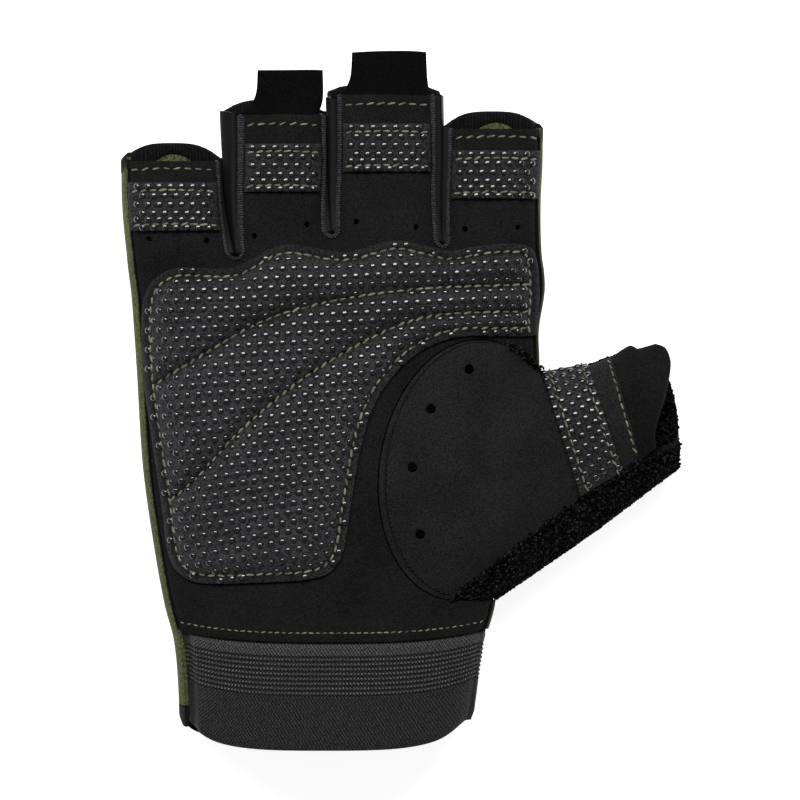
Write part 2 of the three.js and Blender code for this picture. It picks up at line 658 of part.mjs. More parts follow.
// The knit binding on the back edge of a finger opening.
function openingBinding(f) {
  const rows = [1, 0.5, 0].map((share) =>
    fingerBackRows(f, (finger, x) => overhang(finger, x) - BINDING_WIDTH * share).at(-1),
  );
  return new Surface().grid(rows, { flip: true, keep: keepBack(f, rows) }).thicken(0, -BINDING_WALL);
}

// The binding on the back's lower edge, at the wrist.
function wristBinding() {
  const from = -BACK_TAIL - CLEARANCE;
  const rows = [1, 0.5, 0].map((share) => backRow((from - share * WRIST_BINDING_WIDTH) / PALM_LENGTH));
  const seamColumn = thumbSeamColumn(rows[0]);
  return new Surface()
    .grid(rows, { flip: true, keep: (i, j) => j > 0 && j < seamColumn })
    .thicken(0, -STRETCH_FABRIC);
}

// The strip between two fingers: down one finger's side, round the crotch and up the next one's.
// Each row runs from the palm's edge over the finger's rounded side and down to the back's edge.
const STRIP_OVER = [0, 0.35, 0.7, 1];
const STRIP_DOWN = [0.4, 1];
function stripLeg(k, f, side) {
  const hidden = SUEDE + 1.3 * CLEARANCE;
  const edgePoints = (layer) => {
    const start = slotCrotch(k) + layer.rise;
    const end = hemY(f) + layer.depth * SIDE_OVERHANG;
    return rowsAlong(f, layer).map(({ share, opening }) => {
      const y = lerp(start, end, share);
      return new THREE.Vector3(slotEdge(k, side, y, layer, opening), y, 0);
    });
  };
  const atBack = edgePoints(BACK_SIDE);
  return edgePoints(PALM_SIDE).map((palm, i) => {
    const back = atBack[i];
    const over = STRIP_OVER.map((share) => {
      const point = palm.clone().lerp(back, share);
      const covered = 1 - smoothstep(point.distanceTo(palm), CLEARANCE, 2 * hidden);
      return point.setZ(palmTop(point.x, point.y) - hidden * covered);
    });
    const low = backUnder(back.x, back.y) + BINDING_WALL + CLEARANCE;
    const down = STRIP_DOWN.map((share) => back.clone().setZ(lerp(over.at(-1).z, low, share)));
    return [...over, ...down];
  });
}
function sideStrip(k) {
  const rows = [...stripLeg(k, k, -1).reverse(), ...stripLeg(k, k + 1, 1).slice(1)];
  return new Surface().grid(rows, { flip: true }).thicken(0, -SIDE_STRIP_WALL);
}

// The pad: the palm's own face, lifted and cut to the pad's outline, with two sewn channels.
const smoothLine = (points, closed, steps) => {
  const scaled = points.map((p) => new THREE.Vector3((p.x * PALM_WIDTH) / 2, p.y * PALM_LENGTH, 0));
  return new THREE.CatmullRomCurve3(scaled, closed, "catmullrom", 0.5).getPoints(steps);
};
const PAD_OUTLINE_STEPS = 74;
const QUILT_STEPS = 14;
function padPanel() {
  const surface = palmSurface(PALM_ROWS.filter((share) => share > 0.09), false);
  const outline = smoothLine(PAD_OUTLINE, true, PAD_OUTLINE_STEPS).slice(0, -1);
  const sheet = solidOf(surface.thicken(CLEARANCE + PAD_WALL, CLEARANCE));
  let solid = sheet.intersect(prism(outline, 0, 2 * HAND_HEIGHT));
  for (const line of QUILT_LINES) {
    const points = smoothLine(line, false, QUILT_STEPS);
    const channel = points.map((p, i) => {
      const ahead = points[Math.min(i + 1, QUILT_STEPS)];
      const behind = points[Math.max(i - 1, 0)];
      const heading = ahead.clone().sub(behind).normalize();
      return [-1, 0, 1].map((side) => {
        const x = p.x + (side * heading.y * QUILT_WIDTH) / 2;
        const y = p.y - (side * heading.x * QUILT_WIDTH) / 2;
        const deep = QUILT_DEPTH * (1 - 0.5 * Math.abs(side));
        return new THREE.Vector3(x, y, palmTop(x, y) + CLEARANCE + PAD_WALL - deep);
      });
    });
    solid = solid.subtract(solidOf(new Surface().grid(channel).thicken(PAD_WALL, 0)));
  }
  return geometryOf(solid);
}

// A grip patch across the front of a finger.
function gripPatch(f) {
  const setback = FINGERS[f].tab ? TAB_HEM_WIDTH : HEM_WIDTH;
  const rows = [1, 0.5, 0].map((share) => {
    const y = hemY(f) - setback - share * PATCH_LENGTH;
    const left = (f ? slotEdge(f - 1, 1, y, PALM_SIDE) : palmEdges.left(y)) + PATCH_INSET;
    const right = (f < lastFinger ? slotEdge(f, -1, y, PALM_SIDE) : palmEdges.right(y)) - PATCH_INSET;
    return columnsOf(f, PALM_COLUMNS).map((column) => onPalm({ x: lerp(left, right, column), y }));
  });
  return new Surface().grid(rows).thicken(CLEARANCE + GRIP_WALL, CLEARANCE);
}

// A pull tab: a doubled strip of suede that carries on past the finger's hem.
const TAB_ROWS = [0, 0.12, 0.3, 0.6, 1];
const TAB_COLUMNS = 6;
function pullTab(f) {
  const tab = PULL_TABS[FINGERS[f].tab];
  const start = hemY(f) + CLEARANCE;
  const rows = TAB_ROWS.map((share) => {
    const y = start + share * tab.length;
    const root = (1 - share) ** 5;
    const half = (tab.width / 2) * (1 + tab.flare * root);
    const centre = fingerAt(f, hemY(f)).centre + tab.shift * (1 - root * 0.8);
    return Array.from({ length: TAB_COLUMNS + 1 }, (_, i) => {
      const x = lerp(centre - half, centre + half, i / TAB_COLUMNS);
      return new THREE.Vector3(x, y, palmTop(x, hemY(f)));
    });
  });
  return new Surface().grid(rows).thicken(0, -TAB_WALL);
}

// The elastic wrist band: over the palm side and round the thumb side, tucked under the palm. Past
// the palm's hem it comes out flush, apart from where the back panel covers its edges.
const CUFF_ROWS = [-1, -0.7, -0.4, -0.16, -0.04, 0.3, 1];
const CUFF_TURNS = [0.05, 0.4, 0.72];
const CUFF_UNDER_TURNS = [-0.2, -0.45, -0.65];
const CUFF_STEP = { start: 0.8, end: 4 };
const CUFF_INSET = 0.2;
function cuff() {
  const rows = CUFF_ROWS.map((share) => {
    const flatY = share < 0 ? share * CUFF_LENGTH : share * CUFF_TUCK;
    const side = (hand, turn) => {
      const { x } = sidePoint(hand, flatY, turn);
      return sidePoint(hand, flatY + sweep(flatY, x), turn);
    };
    return [
      ...CUFF_TURNS.map((turn) => side(-1, turn)),
      ...handRow(flatY / PALM_LENGTH, PALM_SIDE, palmEdges).map(swept).map(onPalm),
      ...[...CUFF_TURNS].reverse().map((turn) => side(1, turn)),
      ...CUFF_UNDER_TURNS.map((turn) => side(1, turn)),
    ];
  });
  const hidden = SUEDE + CLEARANCE;
  return new Surface().grid(rows).wall((point) => {
    const hand = handAt(point.y);
    const past = sweep(0, point.x) - point.y;
    const out =
      smoothstep(past, CUFF_STEP.start, CUFF_STEP.end) *
      smoothstep(point.x, hand.left + 1.4 * SEAM_INSET, hand.left + 5 * SEAM_INSET) *
      smoothstep(point.z, lerp(hand.floor, hand.middle, 0.75), lerp(hand.middle, hand.top, 0.15));
    const outer = -lerp(hidden, CUFF_INSET, out);
    return [outer, outer - ELASTIC];
  });
}

// The closure strap, flat under the wrist, with a rounded tip on the little finger's side.
function closureStrap() {
  const tip = handAt(STRAP_CENTRE_Y).left - STRAP_PEEK;
  const half = STRAP_WIDTH / 2;
  const r = STRAP_TIP_RADIUS;
  const shape = new THREE.Shape();
  shape.moveTo(tip + STRAP_LENGTH, STRAP_CENTRE_Y - half);
  shape.lineTo(tip + STRAP_LENGTH, STRAP_CENTRE_Y + half);
  shape.lineTo(tip + r, STRAP_CENTRE_Y + half);
  shape.absarc(tip + r, STRAP_CENTRE_Y + half - r, r, Math.PI / 2, Math.PI, false);
  shape.absarc(tip + r, STRAP_CENTRE_Y - half + r, r, Math.PI, Math.PI * 1.5, false);
  shape.closePath();
  return new THREE.ExtrudeGeometry(shape, { depth: STRAP_WALL, bevelEnabled: false, curveSegments: 6 });
}

// The thumb. A station's section runs between a point on the inner edge and one on the outer edge.
const CROTCH = new THREE.Vector2(handAt(THUMB_HOLE_HIGH).right + 2 * CLEARANCE, THUMB_HOLE_HIGH - CLEARANCE);
const HOLE_FOOT = new THREE.Vector2(handAt(THUMB_HOLE_LOW).right + 3 * CLEARANCE, THUMB_HOLE_LOW - CLEARANCE);
const along = (from, line, share) => {
  const angle = degToRad(line.degrees);
  return new THREE.Vector2(
    from.x + line.length * share * Math.cos(angle),
    from.y + line.length * share * Math.sin(angle),
  );
};
// A point on a station's section. turn is 0 on the inner edge, then 1 at the outer edge over the
// top, and 2 back at the inner edge underneath.
function thumbPoint(station, turn) {
  const inner = along(CROTCH, THUMB_INNER, station.inner);
  inner.y += THUMB_HEIGHT * (station.flare ?? 0);
  const outer = along(HOLE_FOOT, THUMB_OUTER, station.outer);
  const floor = THUMB_HEIGHT * station.lift;
  const top = floor + THUMB_HEIGHT * station.height;
  const middle = lerp(floor, top, MIDDLE_SHARE);
  const angle = Math.PI * turn;
  const power = turn <= 1 ? THUMB_SHAPE.top : THUMB_SHAPE.under;
  const across = (1 - Math.sign(Math.cos(angle)) * Math.abs(Math.cos(angle)) ** (2 / power)) / 2;
  const rise = Math.abs(Math.sin(angle)) ** (2 / power);
  const bow = (station.bow ?? 0) * Math.sin(Math.PI * across);
  const out = new THREE.Vector2(inner.y - outer.y, outer.x - inner.x).multiplyScalar(bow);
  const plan = inner.lerp(outer, across).add(out);
  return new THREE.Vector3(plan.x, plan.y, lerp(middle, turn <= 1 ? top : floor, rise));
}
// The turn at which the suede meets the terry.
const TERRY_TURN = Math.acos(-((2 * TERRY_SHARE - 1) ** (THUMB_SHAPE.top / 2))) / Math.PI;
const EDGE_GAP_TURN = 0.008;
const PANEL_COLUMNS = 12;
const FAN_STEPS = 6;
const THUMB_HEM_STATION = 2;

// The suede over the ball of the thumb and on along it to the hem.
function thumbPanelRows() {
  const shares = Array.from({ length: PANEL_COLUMNS + 1 }, (_, i) => i / PANEL_COLUMNS);
  const turnAt = (share) => lerp(EDGE_GAP_TURN, TERRY_TURN - EDGE_GAP_TURN, share);
  const fan = Array.from({ length: FAN_STEPS }, (_, i) => {
    const r = i / FAN_STEPS;
    return shares.map((share) => {
      const seam = thumbSeam(share);
      const x = Math.min(seam.x, handAt(seam.y).right + CLEARANCE);
      const base = new THREE.Vector3(x, seam.y, palmTop(x, seam.y));
      const dome = THUMB_DOME * 6.75 * r * (1 - r) ** 2 * Math.sin(Math.PI * share);
      const point = base.lerp(thumbPoint(THUMB_STATIONS[0], turnAt(share)), r);
      return point.setZ(point.z + dome);
    });
  });
  const tube = THUMB_STATIONS.slice(0, THUMB_HEM_STATION + 1).map((station) =>
    shares.map((share) => thumbPoint(station, turnAt(share))),
  );
  return [...fan, ...tube];
}
function thumbPanel() {
  let solid = solidOf(new Surface().grid(thumbPanelRows()).thicken(0, -SUEDE));
  for (const vent of THUMB_VENTS)
    solid = solid.subtract(drill((vent.x * PALM_WIDTH) / 2, vent.y * PALM_LENGTH, THUMB_VENT_RADIUS));
  return geometryOf(solid);
}

// The grip patch across the thumb.
function thumbPatch() {
  const turns = Array.from({ length: 9 }, (_, i) => lerp(0.06, TERRY_TURN - 0.02, i / 8));
  const mix = (share) => {
    const [from, to] = THUMB_STATIONS;
    const keys = ["inner", "outer", "height", "lift"];
    return Object.fromEntries(keys.map((key) => [key, lerp(from[key], to[key], share)]));
  };
  const rows = [0.01, 0.5, 1].map((share) => turns.map((turn) => thumbPoint(mix(share), turn)));
  return new Surface().grid(rows).thicken(CLEARANCE + GRIP_WALL, CLEARANCE);
}

// The tab on the thumb: the suede runs on past the hem, long at the inner edge and short at the
// outer one, where it turns with the terry's edge.
const THUMB_TAB_STEPS = 5;
const TAB_CORNER = { cut: 0.2, power: 12 };
function thumbTab() {
  const hem = thumbPanelRows().at(-1);
  const rows = Array.from({ length: THUMB_TAB_STEPS + 1 }, (_, i) => {
    const t = i / THUMB_TAB_STEPS;
    return hem.map((point, j) => {
      const share = j / PANEL_COLUMNS;
      const angle = degToRad(THUMB_INNER.degrees + THUMB_TAB.turn * share);
      const corner = 1 - TAB_CORNER.cut * t * (1 - share) ** TAB_CORNER.power;
      const length = 1.5 * CLEARANCE + lerp(THUMB_TAB.inner, THUMB_TAB.outer, share) * t * corner;
      const flare = THUMB_TAB.flare * Math.sin(t * 2.4) ** 2 * (1 - share) ** 2;
      return new THREE.Vector3(
        point.x + Math.cos(angle) * length,
        point.y + Math.sin(angle) * length + flare,
        point.z + THUMB_TAB.curl * t ** 2,
      );
    });
  });
  return new Surface().grid(rows).thicken(0, -SUEDE);
}

// The terry back of the thumb: from the suede's lower edge round the outside and underneath to the
// inner edge. Its root follows the hole in the hand's side.
const HOLE_SEAM_POINTS = 7;
function holeLoop() {
  const low = THUMB_HOLE_LOW + CLEARANCE;
  const high = THUMB_HOLE_HIGH - CLEARANCE;
  const start = thumbSeam(1);
  const hand = handAt(low);
  const seamTurn = SIDE_TURNS[THUMB_SEAM_TURN];
  const over = Array.from({ length: 4 }, (_, i) => {
    const x = lerp(start.x + 3 * CLEARANCE, hand.right - SEAM_INSET, (i / 4) ** 0.7);
    return new THREE.Vector3(x, low, palmTop(x, low));
  });
  const down = [0.75, 0, seamTurn / 2].map((turn) => sidePoint(1, low, turn));
  const under = Array.from({ length: HOLE_SEAM_POINTS }, (_, i) => {
    const y = lerp(low, high, i / (HOLE_SEAM_POINTS - 1));
    const point = sidePoint(1, y, seamTurn);
    return point.setX(point.x + CLEARANCE * 1.6);
  });
  const up = [seamTurn / 2 - 0.1, -0.15].map((turn) => {
    const point = sidePoint(1, high, turn);
    return point.setX(point.x + CLEARANCE);
  });
  return [...over, ...down, ...under, ...up];
}
function thumbBack() {
  const loop = holeLoop();
  const last = loop.length - 1;
  const turns = loop.map((_, i) => {
    const t = i / last;
    return lerp(TERRY_TURN + EDGE_GAP_TURN, 2 - EDGE_GAP_TURN, t);
  });
  const fan = Array.from({ length: 5 }, (_, i) =>
    loop.map((point, j) => point.clone().lerp(thumbPoint(THUMB_STATIONS[0], turns[j]), i / 5)),
  );
  const tube = THUMB_STATIONS.map((station) => turns.map((turn) => thumbPoint(station, turn)));
  return new Surface().grid([...fan, ...tube]).thicken(0, -TERRY);
}

// Materials.
const finish = (color, roughness) => new THREE.MeshStandardMaterial({ color, roughness, metalness: 0 });
const SUEDE_BLACK = finish(0x1c1c1c, 0.92);
const OLIVE = finish(0x565b3a, 0.9);
const STRIP_BLACK = finish(0x262626, 0.7);
const GRIP_GREY = finish(0x3b3b3d, 0.6);
const TERRY_BLACK = finish(0x151516, 1.0);
const ELASTIC_BLACK = finish(0x2e2e2f, 0.85);
const KNIT_BLACK = finish(0x17171a, 0.95);

const glove = new THREE.Group();
function piece(name, geometry, material) {
  const mesh = new THREE.Mesh(geometry, material);
  mesh.name = name;
  glove.add(mesh);
}

piece("palm_panel", palmPanel(), SUEDE_BLACK);
piece("back_panel", backPanel(), OLIVE);
SLOTS.forEach((_, k) => {
  const name = `side_strip_${FINGERS[k].name}_${FINGERS[k + 1].name}`;
  piece(name, sideStrip(k), STRIP_BLACK);
});
FINGERS.forEach((finger, f) => {
  piece(`opening_binding_${finger.name}`, openingBinding(f), KNIT_BLACK);
  piece(`grip_patch_${finger.name}`, gripPatch(f), GRIP_GREY);
  if (finger.tab) piece(`pull_tab_${finger.name}`, pullTab(f), SUEDE_BLACK);
});
piece("palm_pad", padPanel(), GRIP_GREY);
piece("thumb_panel", thumbPanel(), SUEDE_BLACK);
piece("thumb_back", thumbBack(), TERRY_BLACK);
piece("grip_patch_thumb", thumbPatch(), GRIP_GREY);
piece("pull_tab_thumb", thumbTab(), SUEDE_BLACK);
piece("cuff", cuff(), ELASTIC_BLACK);
piece("wrist_binding", wristBinding(), KNIT_BLACK);
piece("closure_strap", closureStrap(), KNIT_BLACK);

// The frame's origin is under the middle of the glove, on the surface that it lies on.
const box = new THREE.Box3().setFromObject(glove);
const middle = box.getCenter(new THREE.Vector3());
glove.position.set(-middle.x, -middle.y, -box.min.z);
glove.updateMatrixWorld(true);

export default glove;
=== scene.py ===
"""The look of a fingerless weightlifting glove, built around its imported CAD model.

Lengths in this file are millimetres in the glove's own plan: X across the hand towards the thumb,
Y from the wrist seam to the fingertips, Z up. Meshes are written in metres, in the row frame.
"""
import math
from types import SimpleNamespace

import bpy
import numpy as np
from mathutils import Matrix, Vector
from mathutils.geometry import delaunay_2d_cdt


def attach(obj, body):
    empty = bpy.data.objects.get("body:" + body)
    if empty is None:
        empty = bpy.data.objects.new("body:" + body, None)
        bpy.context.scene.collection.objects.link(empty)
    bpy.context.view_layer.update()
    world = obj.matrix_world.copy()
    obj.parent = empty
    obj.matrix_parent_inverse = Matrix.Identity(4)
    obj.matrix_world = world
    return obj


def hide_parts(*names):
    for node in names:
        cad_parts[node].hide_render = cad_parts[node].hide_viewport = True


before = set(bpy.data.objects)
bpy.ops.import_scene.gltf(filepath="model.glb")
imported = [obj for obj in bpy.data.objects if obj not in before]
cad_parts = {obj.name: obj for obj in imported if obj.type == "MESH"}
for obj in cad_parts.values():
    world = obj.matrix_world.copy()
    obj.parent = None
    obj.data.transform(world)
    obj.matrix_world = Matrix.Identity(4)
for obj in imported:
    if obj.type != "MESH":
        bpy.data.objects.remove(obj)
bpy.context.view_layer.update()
PLAN_TO_FRAME = np.array([-16.392, -60.104, 0.0])
METRE = 1000.0

# The glove's measures, as its solids have them
PALM_WIDTH = 104.0
PALM_LENGTH = 97.0
WRIST_WIDTH = 72.0
HAND_HEIGHT = 30.0
FINGER_LENGTH = 39.5
CUFF_LENGTH = 27.0
CUFF_TUCK = 4.0
CLEARANCE = 0.35
SUEDE = 1.2
STRETCH_FABRIC = 1.2
TERRY = 2.0
ELASTIC = 1.8
GRIP_WALL = 1.0
TAB_WALL = 1.6
STRAP_WALL = 1.6
SLOT_WIDTH = 5.0
BACK_SLOT_WIDTH = 0.8
BACK_CROTCH_RISE = 1.6
SEAM_INSET = 1.8
THUMB_SIDE_INSET = 0.7
WRIST_SAG = 3.0
CUFF_SAG = 6.5
TIP_LIFT = 1.5
STRAP_ROOM = 2.1
BACK_OVERHANG = 4.9
SIDE_OVERHANG = 0.9
BINDING_WIDTH = 4.0
HEM_WIDTH = 5.4
TAB_HEM_WIDTH = 7.4
PATCH_LENGTH = 12.0
VENT_RADIUS = 0.75
THUMB_VENT_RADIUS = 1.2
STRAP_WIDTH = 21.0
STRAP_LENGTH = 68.0
STRAP_CENTRE_Y = -13.0
STRAP_TIP_RADIUS = 7.0
STRAP_PEEK = 0.2
BACK_TAIL = 16.0
WRIST_BINDING_WIDTH = 5.0
THUMB_HOLE_LOW = 10.2
THUMB_HOLE_HIGH = 67.0
SEAM = SimpleNamespace(x=33.2, y=42.8, left=22.0, right=25.0, up=32.3, shear=0.085)
THUMB_OUTER = SimpleNamespace(degrees=36.9, length=56.0)
THUMB_INNER = SimpleNamespace(degrees=10.5, length=31.0)
THUMB_HEIGHT = 24.5
THUMB_DOME = 3.2
TERRY_SHARE = 0.787


def table(columns, rows):
    return {name: np.array(values, float) for name, values in zip(columns.split(), zip(*rows))}


# The hand's outline along it: at 0 is the wrist's seam, 1 the palm's end, 2 the longest finger's hem
HAND = table("at spread shift height", [
    (-0.28, 0.03, -0.024, 1.06),
    (-0.15, 0.08, -0.0163, 1.05),
    (0.0, 0.18, -0.0125, 1.03),
    (0.09, 0.328, -0.012, 1.0),
    (0.25, 0.47, -0.0173, 1.0),
    (0.45, 0.688, -0.0096, 1.0),
    (0.69, 0.89, 0.0072, 0.97),
    (0.8, 0.913, 0.0038, 0.94),
    (0.9, 0.984, 0.0072, 0.91),
    (0.95, 1.0, 0.0036, 0.89),
    (1.0, 0.995, -0.0019, 0.87),
    (1.3, 1.023, -0.0084, 0.8),
    (1.6, 1.047, -0.0072, 0.76),
    (2.0, 1.06, -0.0096, 0.74),
])
FINGERS = ["pinky", "ring", "middle", "index"]
FINGER = table("length overhang", [(0.577, 1.0), (0.873, 0.84), (1.0, 0.46), (0.78, 0.98)])
SLOT = table("crotch root root_left root_right tip tip_left tip_right", [
    (0.979, 0.2635, 0.5, 0.46, 0.2365, 0.25, 1.2),
    (1.035, 0.5, 0.54, 0.4, 0.487, 0.2, 0.82),
    (1.009, 0.762, 0.4, 0.4, 0.762, 0.58, 0.48),
])
CROTCHES = np.array([0.985, *SLOT["crotch"], 1.015])
CROTCH_BUMP = 0.04
# The tabs, by the number of their finger
TABS = {1: SimpleNamespace(width=16.5, length=11.0, shift=4.5, flare=0.2),
        2: SimpleNamespace(width=18.7, length=10.4, shift=1.4, flare=0.18)}
# The thumb's stations: how far its two edges are along their lines, its height, lift, flare and bow
THUMB = table("at inner outer height lift flare bow", [
    (0, 0.0, 0.507, 1.0, 0.03, 0.0, 0.0),
    (1, 0.373, 0.735, 0.96, 0.035, 0.0, 0.0),
    (2, 0.57, 0.828, 0.93, 0.04, 0.045, 0.0),
    (3, 0.8, 0.92, 0.9, 0.05, 0.04, 0.03),
    (4, 0.97, 1.0, 0.88, 0.06, 0.0, 0.07),
])
BODY = SimpleNamespace(top=2.5, under=2.2, flat=0.68)
TIP = SimpleNamespace(top=2.6, under=2.2, flat=0.45)
THUMB_SHAPE = SimpleNamespace(top=2.2, under=2.6)
MIDDLE_SHARE = 0.48
SLOT_CROWN = 0.88
BLEND_BELOW = 14.0
BLEND_ABOVE = 9.0


def mix(a, b, t):
    return a + (b - a) * t


def smooth(x, low, high):
    t = np.clip((x - low) / (high - low), 0, 1)
    return t * t * (3 - 2 * t)


def bell(x, width):
    """1 at nought, and almost gone two widths away."""
    return np.exp(-(x / width) ** 2)


def unit(vectors):
    return vectors / np.linalg.norm(vectors, axis=-1, keepdims=True)


def joined(*parts):
    """Rows of numbers from columns, such as points from their coordinates."""
    return np.stack(np.broadcast_arrays(*parts), -1)


def read(rows, at, column):
    """One column of a table at places along it, as a smooth curve through its rows."""
    xs, ys = rows["at"], rows[column]
    slopes = np.gradient(ys)
    slopes[1:-1] = (ys[2:] - ys[:-2]) / (xs[2:] - xs[:-2])
    slopes[0] = (ys[1] - ys[0]) / (xs[1] - xs[0])
    slopes[-1] = (ys[-1] - ys[-2]) / (xs[-1] - xs[-2])
    place = np.clip(at, xs[0], xs[-1])
    i = np.searchsorted(xs[1:-1], place)
    span = xs[i + 1] - xs[i]
    t = (place - xs[i]) / span
    return ((2 * t**3 - 3 * t**2 + 1) * ys[i] + (t**3 - 2 * t**2 + t) * span * slopes[i]
            + (3 * t**2 - 2 * t**3) * ys[i + 1] + (t**3 - t**2) * span * slopes[i + 1])


def hand_at(y):
    y = np.asarray(y, float)
    at = np.where(y <= PALM_LENGTH, y / PALM_LENGTH, 1 + (y - PALM_LENGTH) / FINGER_LENGTH)
    half = mix(WRIST_WIDTH, PALM_WIDTH, read(HAND, at, "spread")) / 2
    centre = PALM_WIDTH * read(HAND, at, "shift")
    top = HAND_HEIGHT * read(HAND, at, "height")
    tip = smooth(y, PALM_LENGTH, PALM_LENGTH + FINGER_LENGTH)
    floor = STRAP_ROOM * (1 - smooth(y, 0, THUMB_HOLE_LOW)) + TIP_LIFT * tip
    return SimpleNamespace(left=centre - half, right=centre + half, centre=centre, half=half,
                           top=top, floor=floor, middle=mix(floor, top, MIDDLE_SHARE))


def slot_at(k, y, depth=0.0):
    """Where a slot's middle is, and how far its two edges are from it: depth 0 palm, 1 back."""
    t = np.clip((y - SLOT["crotch"][k] * PALM_LENGTH) / FINGER_LENGTH, 0, 1)
    spread = 1 - (1 - t) ** 2
    hand = hand_at(y)
    x = mix(hand.left, hand.right, mix(SLOT["root"][k], SLOT["tip"][k], spread))

    def reach(side):
        palm = SLOT_WIDTH * mix(SLOT["root_" + side][k], SLOT["tip_" + side][k], spread)
        return mix(palm, BACK_SLOT_WIDTH / 2, depth)

    return x, reach("left"), reach("right")


def hem_y(f):
    return PALM_LENGTH + FINGER["length"][f] * FINGER_LENGTH


def crotch_line(f, t):
    return PALM_LENGTH * (mix(CROTCHES[f], CROTCHES[f + 1], t) + CROTCH_BUMP * np.sin(np.pi * t))


def fingers_at(x, y):
    """For points: the number of their finger, and that finger's edges there."""
    x, y = np.broadcast_arrays(np.asarray(x, float), np.asarray(y, float))
    hand = hand_at(y)
    edges = np.stack([hand.left, *(slot_at(k, y)[0] for k in range(3)), hand.right])
    f = sum((x > edges[k]).astype(int) for k in (1, 2, 3))
    left = np.take_along_axis(edges, f[None], 0)[0]
    right = np.take_along_axis(edges, f[None] + 1, 0)[0]
    return f, left, right


def finger_place(x, y):
    f, left, right = fingers_at(x, y)
    centre, half = (left + right) / 2, (right - left) / 2
    before = x < centre
    outer = (before & (f == 0)) | (~before & (f == 3))
    return np.abs(x - centre) / np.where(outer, half, half / SLOT_CROWN)


def finger_share(x, y):
    f, left, right = fingers_at(x, y)
    line = crotch_line(f, np.clip((x - left) / (right - left), 0, 1))
    return smooth(y, line - BLEND_BELOW, line + BLEND_ABOVE)


def crown(w, power):
    return (1 - np.minimum(np.abs(w), 1) ** power) ** (1 / power)


def sag(w, shape):
    return 1 - crown(np.clip((w - shape.flat) / (1 - shape.flat), 0, 1), shape.under)


def palm_top(x, y):
    x, y = np.broadcast_arrays(np.asarray(x, float), np.asarray(y, float))
    hand = hand_at(y)
    body = crown((x - hand.centre) / hand.half, BODY.top)
    finger = crown(finger_place(x, y), TIP.top)
    return mix(hand.middle, hand.top, mix(body, finger, finger_share(x, y)))


def back_under(x, y):
    x, y = np.broadcast_arrays(np.asarray(x, float), np.asarray(y, float))
    hand = hand_at(y)
    body = sag(np.abs(x - hand.centre) / hand.half, BODY)
    finger = sag(finger_place(x, y), TIP)
    return mix(hand.floor, hand.middle, mix(body, finger, finger_share(x, y)))


def side_point(side, y, turn):
    """Points of the rounded side: turn -1 where the flat underside ends, 0 outmost, 1 at the seam."""
    y, turn = np.broadcast_arrays(np.asarray(y, float), np.asarray(turn, float))
    hand = hand_at(y)
    edge = hand.left if side < 0 else hand.right
    inset = SEAM_INSET if side < 0 else THUMB_SIDE_INSET
    hand_edge = edge - side * 1e-6
    _, left, right = fingers_at(hand_edge, y)

    def on_curve(half, shape):
        low = (1 + np.minimum(turn, 0)) * np.pi / 2
        out = np.sin(low) ** (2 / shape.under)
        x_low = edge - side * half * (1 - shape.flat) * (1 - out)
        z_low = mix(hand.floor, hand.middle, 1 - np.maximum(np.cos(low), 0) ** (2 / shape.under))
        high = np.maximum(turn, 0) * np.arccos((1 - inset / half) ** (shape.top / 2))
        x_high = edge - side * half * (1 - np.cos(high) ** (2 / shape.top))
        z_high = mix(hand.middle, hand.top, np.sin(high) ** (2 / shape.top))
        return np.where(turn <= 0, x_low, x_high), np.where(turn <= 0, z_low, z_high)

    share = finger_share(hand_edge, y)
    body_x, body_z = on_curve(hand.half, BODY)
    tip_x, tip_z = on_curve((right - left) / 2, TIP)
    return mix(body_x, tip_x, share), mix(body_z, tip_z, share)


def sweep(y, x):
    """How far the wrist's rows bend towards the hand at their ends."""
    hand = hand_at(y)
    w = np.clip(np.abs(x - hand.centre) / hand.half, 0, 1)
    at_seam = (1 - smooth(y, 0, THUMB_HOLE_LOW * 0.6)) * WRIST_SAG * w**3
    at_cuff = np.clip(-y / CUFF_LENGTH, 0, 1) * (CUFF_SAG - WRIST_SAG) * w**5
    return at_seam + at_cuff


# Noise
def lattice(ix, iy, iz, seed):
    n = (ix * 73856093) ^ (iy * 19349663) ^ (iz * 83492791) ^ (seed * 2654435)
    n = (n ^ (n >> 13)) * 1274126177
    return ((n ^ (n >> 16)) & 0xFFFF) / 32767.5 - 1


def noise(points, size, seed=1):
    """Smooth noise from -1 to 1 at points, with lumps of one size."""
    p = np.asarray(points, float) / size
    i = np.floor(p).astype(np.int64)
    t = p - i
    t = t * t * (3 - 2 * t)
    total = 0.0
    for dx in (0, 1):
        for dy in (0, 1):
            for dz in (0, 1):
                weight = (np.abs(1 - dx - t[..., 0]) * np.abs(1 - dy - t[..., 1])
                          * np.abs(1 - dz - t[..., 2]))
                total = total + weight * lattice(i[..., 0] + dx, i[..., 1] + dy, i[..., 2] + dz, seed)
    return total


# Meshes
FINE_SHARP = 80


def grid_faces(rows, columns):
    ids = np.arange(rows * columns).reshape(rows, columns)
    return joined(ids[:-1, :-1], ids[:-1, 1:], ids[1:, 1:], ids[1:, :-1]).reshape(-1, 4)


def normals_of(points, faces):
    a, b, c = (points[faces[:, k]] for k in (0, 1, 2))
    across = np.cross(b - a, c - a)
    if faces.shape[1] == 4:
        across = np.cross(c - a, points[faces[:, 3]] - b)
    sums = np.zeros_like(points)
    for k in range(faces.shape[1]):
        np.add.at(sums, faces[:, k], across)
    return sums / np.maximum(np.linalg.norm(sums, axis=1, keepdims=True), 1e-12)


def ring_faces(ids):
    """The quads between rings of points, from the points' numbers, a row for each ring."""
    ahead = np.roll(ids, -1, 1)
    return joined(ids[:-1], ahead[:-1], ahead[1:], ids[1:]).reshape(-1, 4)


def fan(ids):
    """The triangles that fill one ring."""
    return joined(ids[0], ids[1:-1], ids[2:])


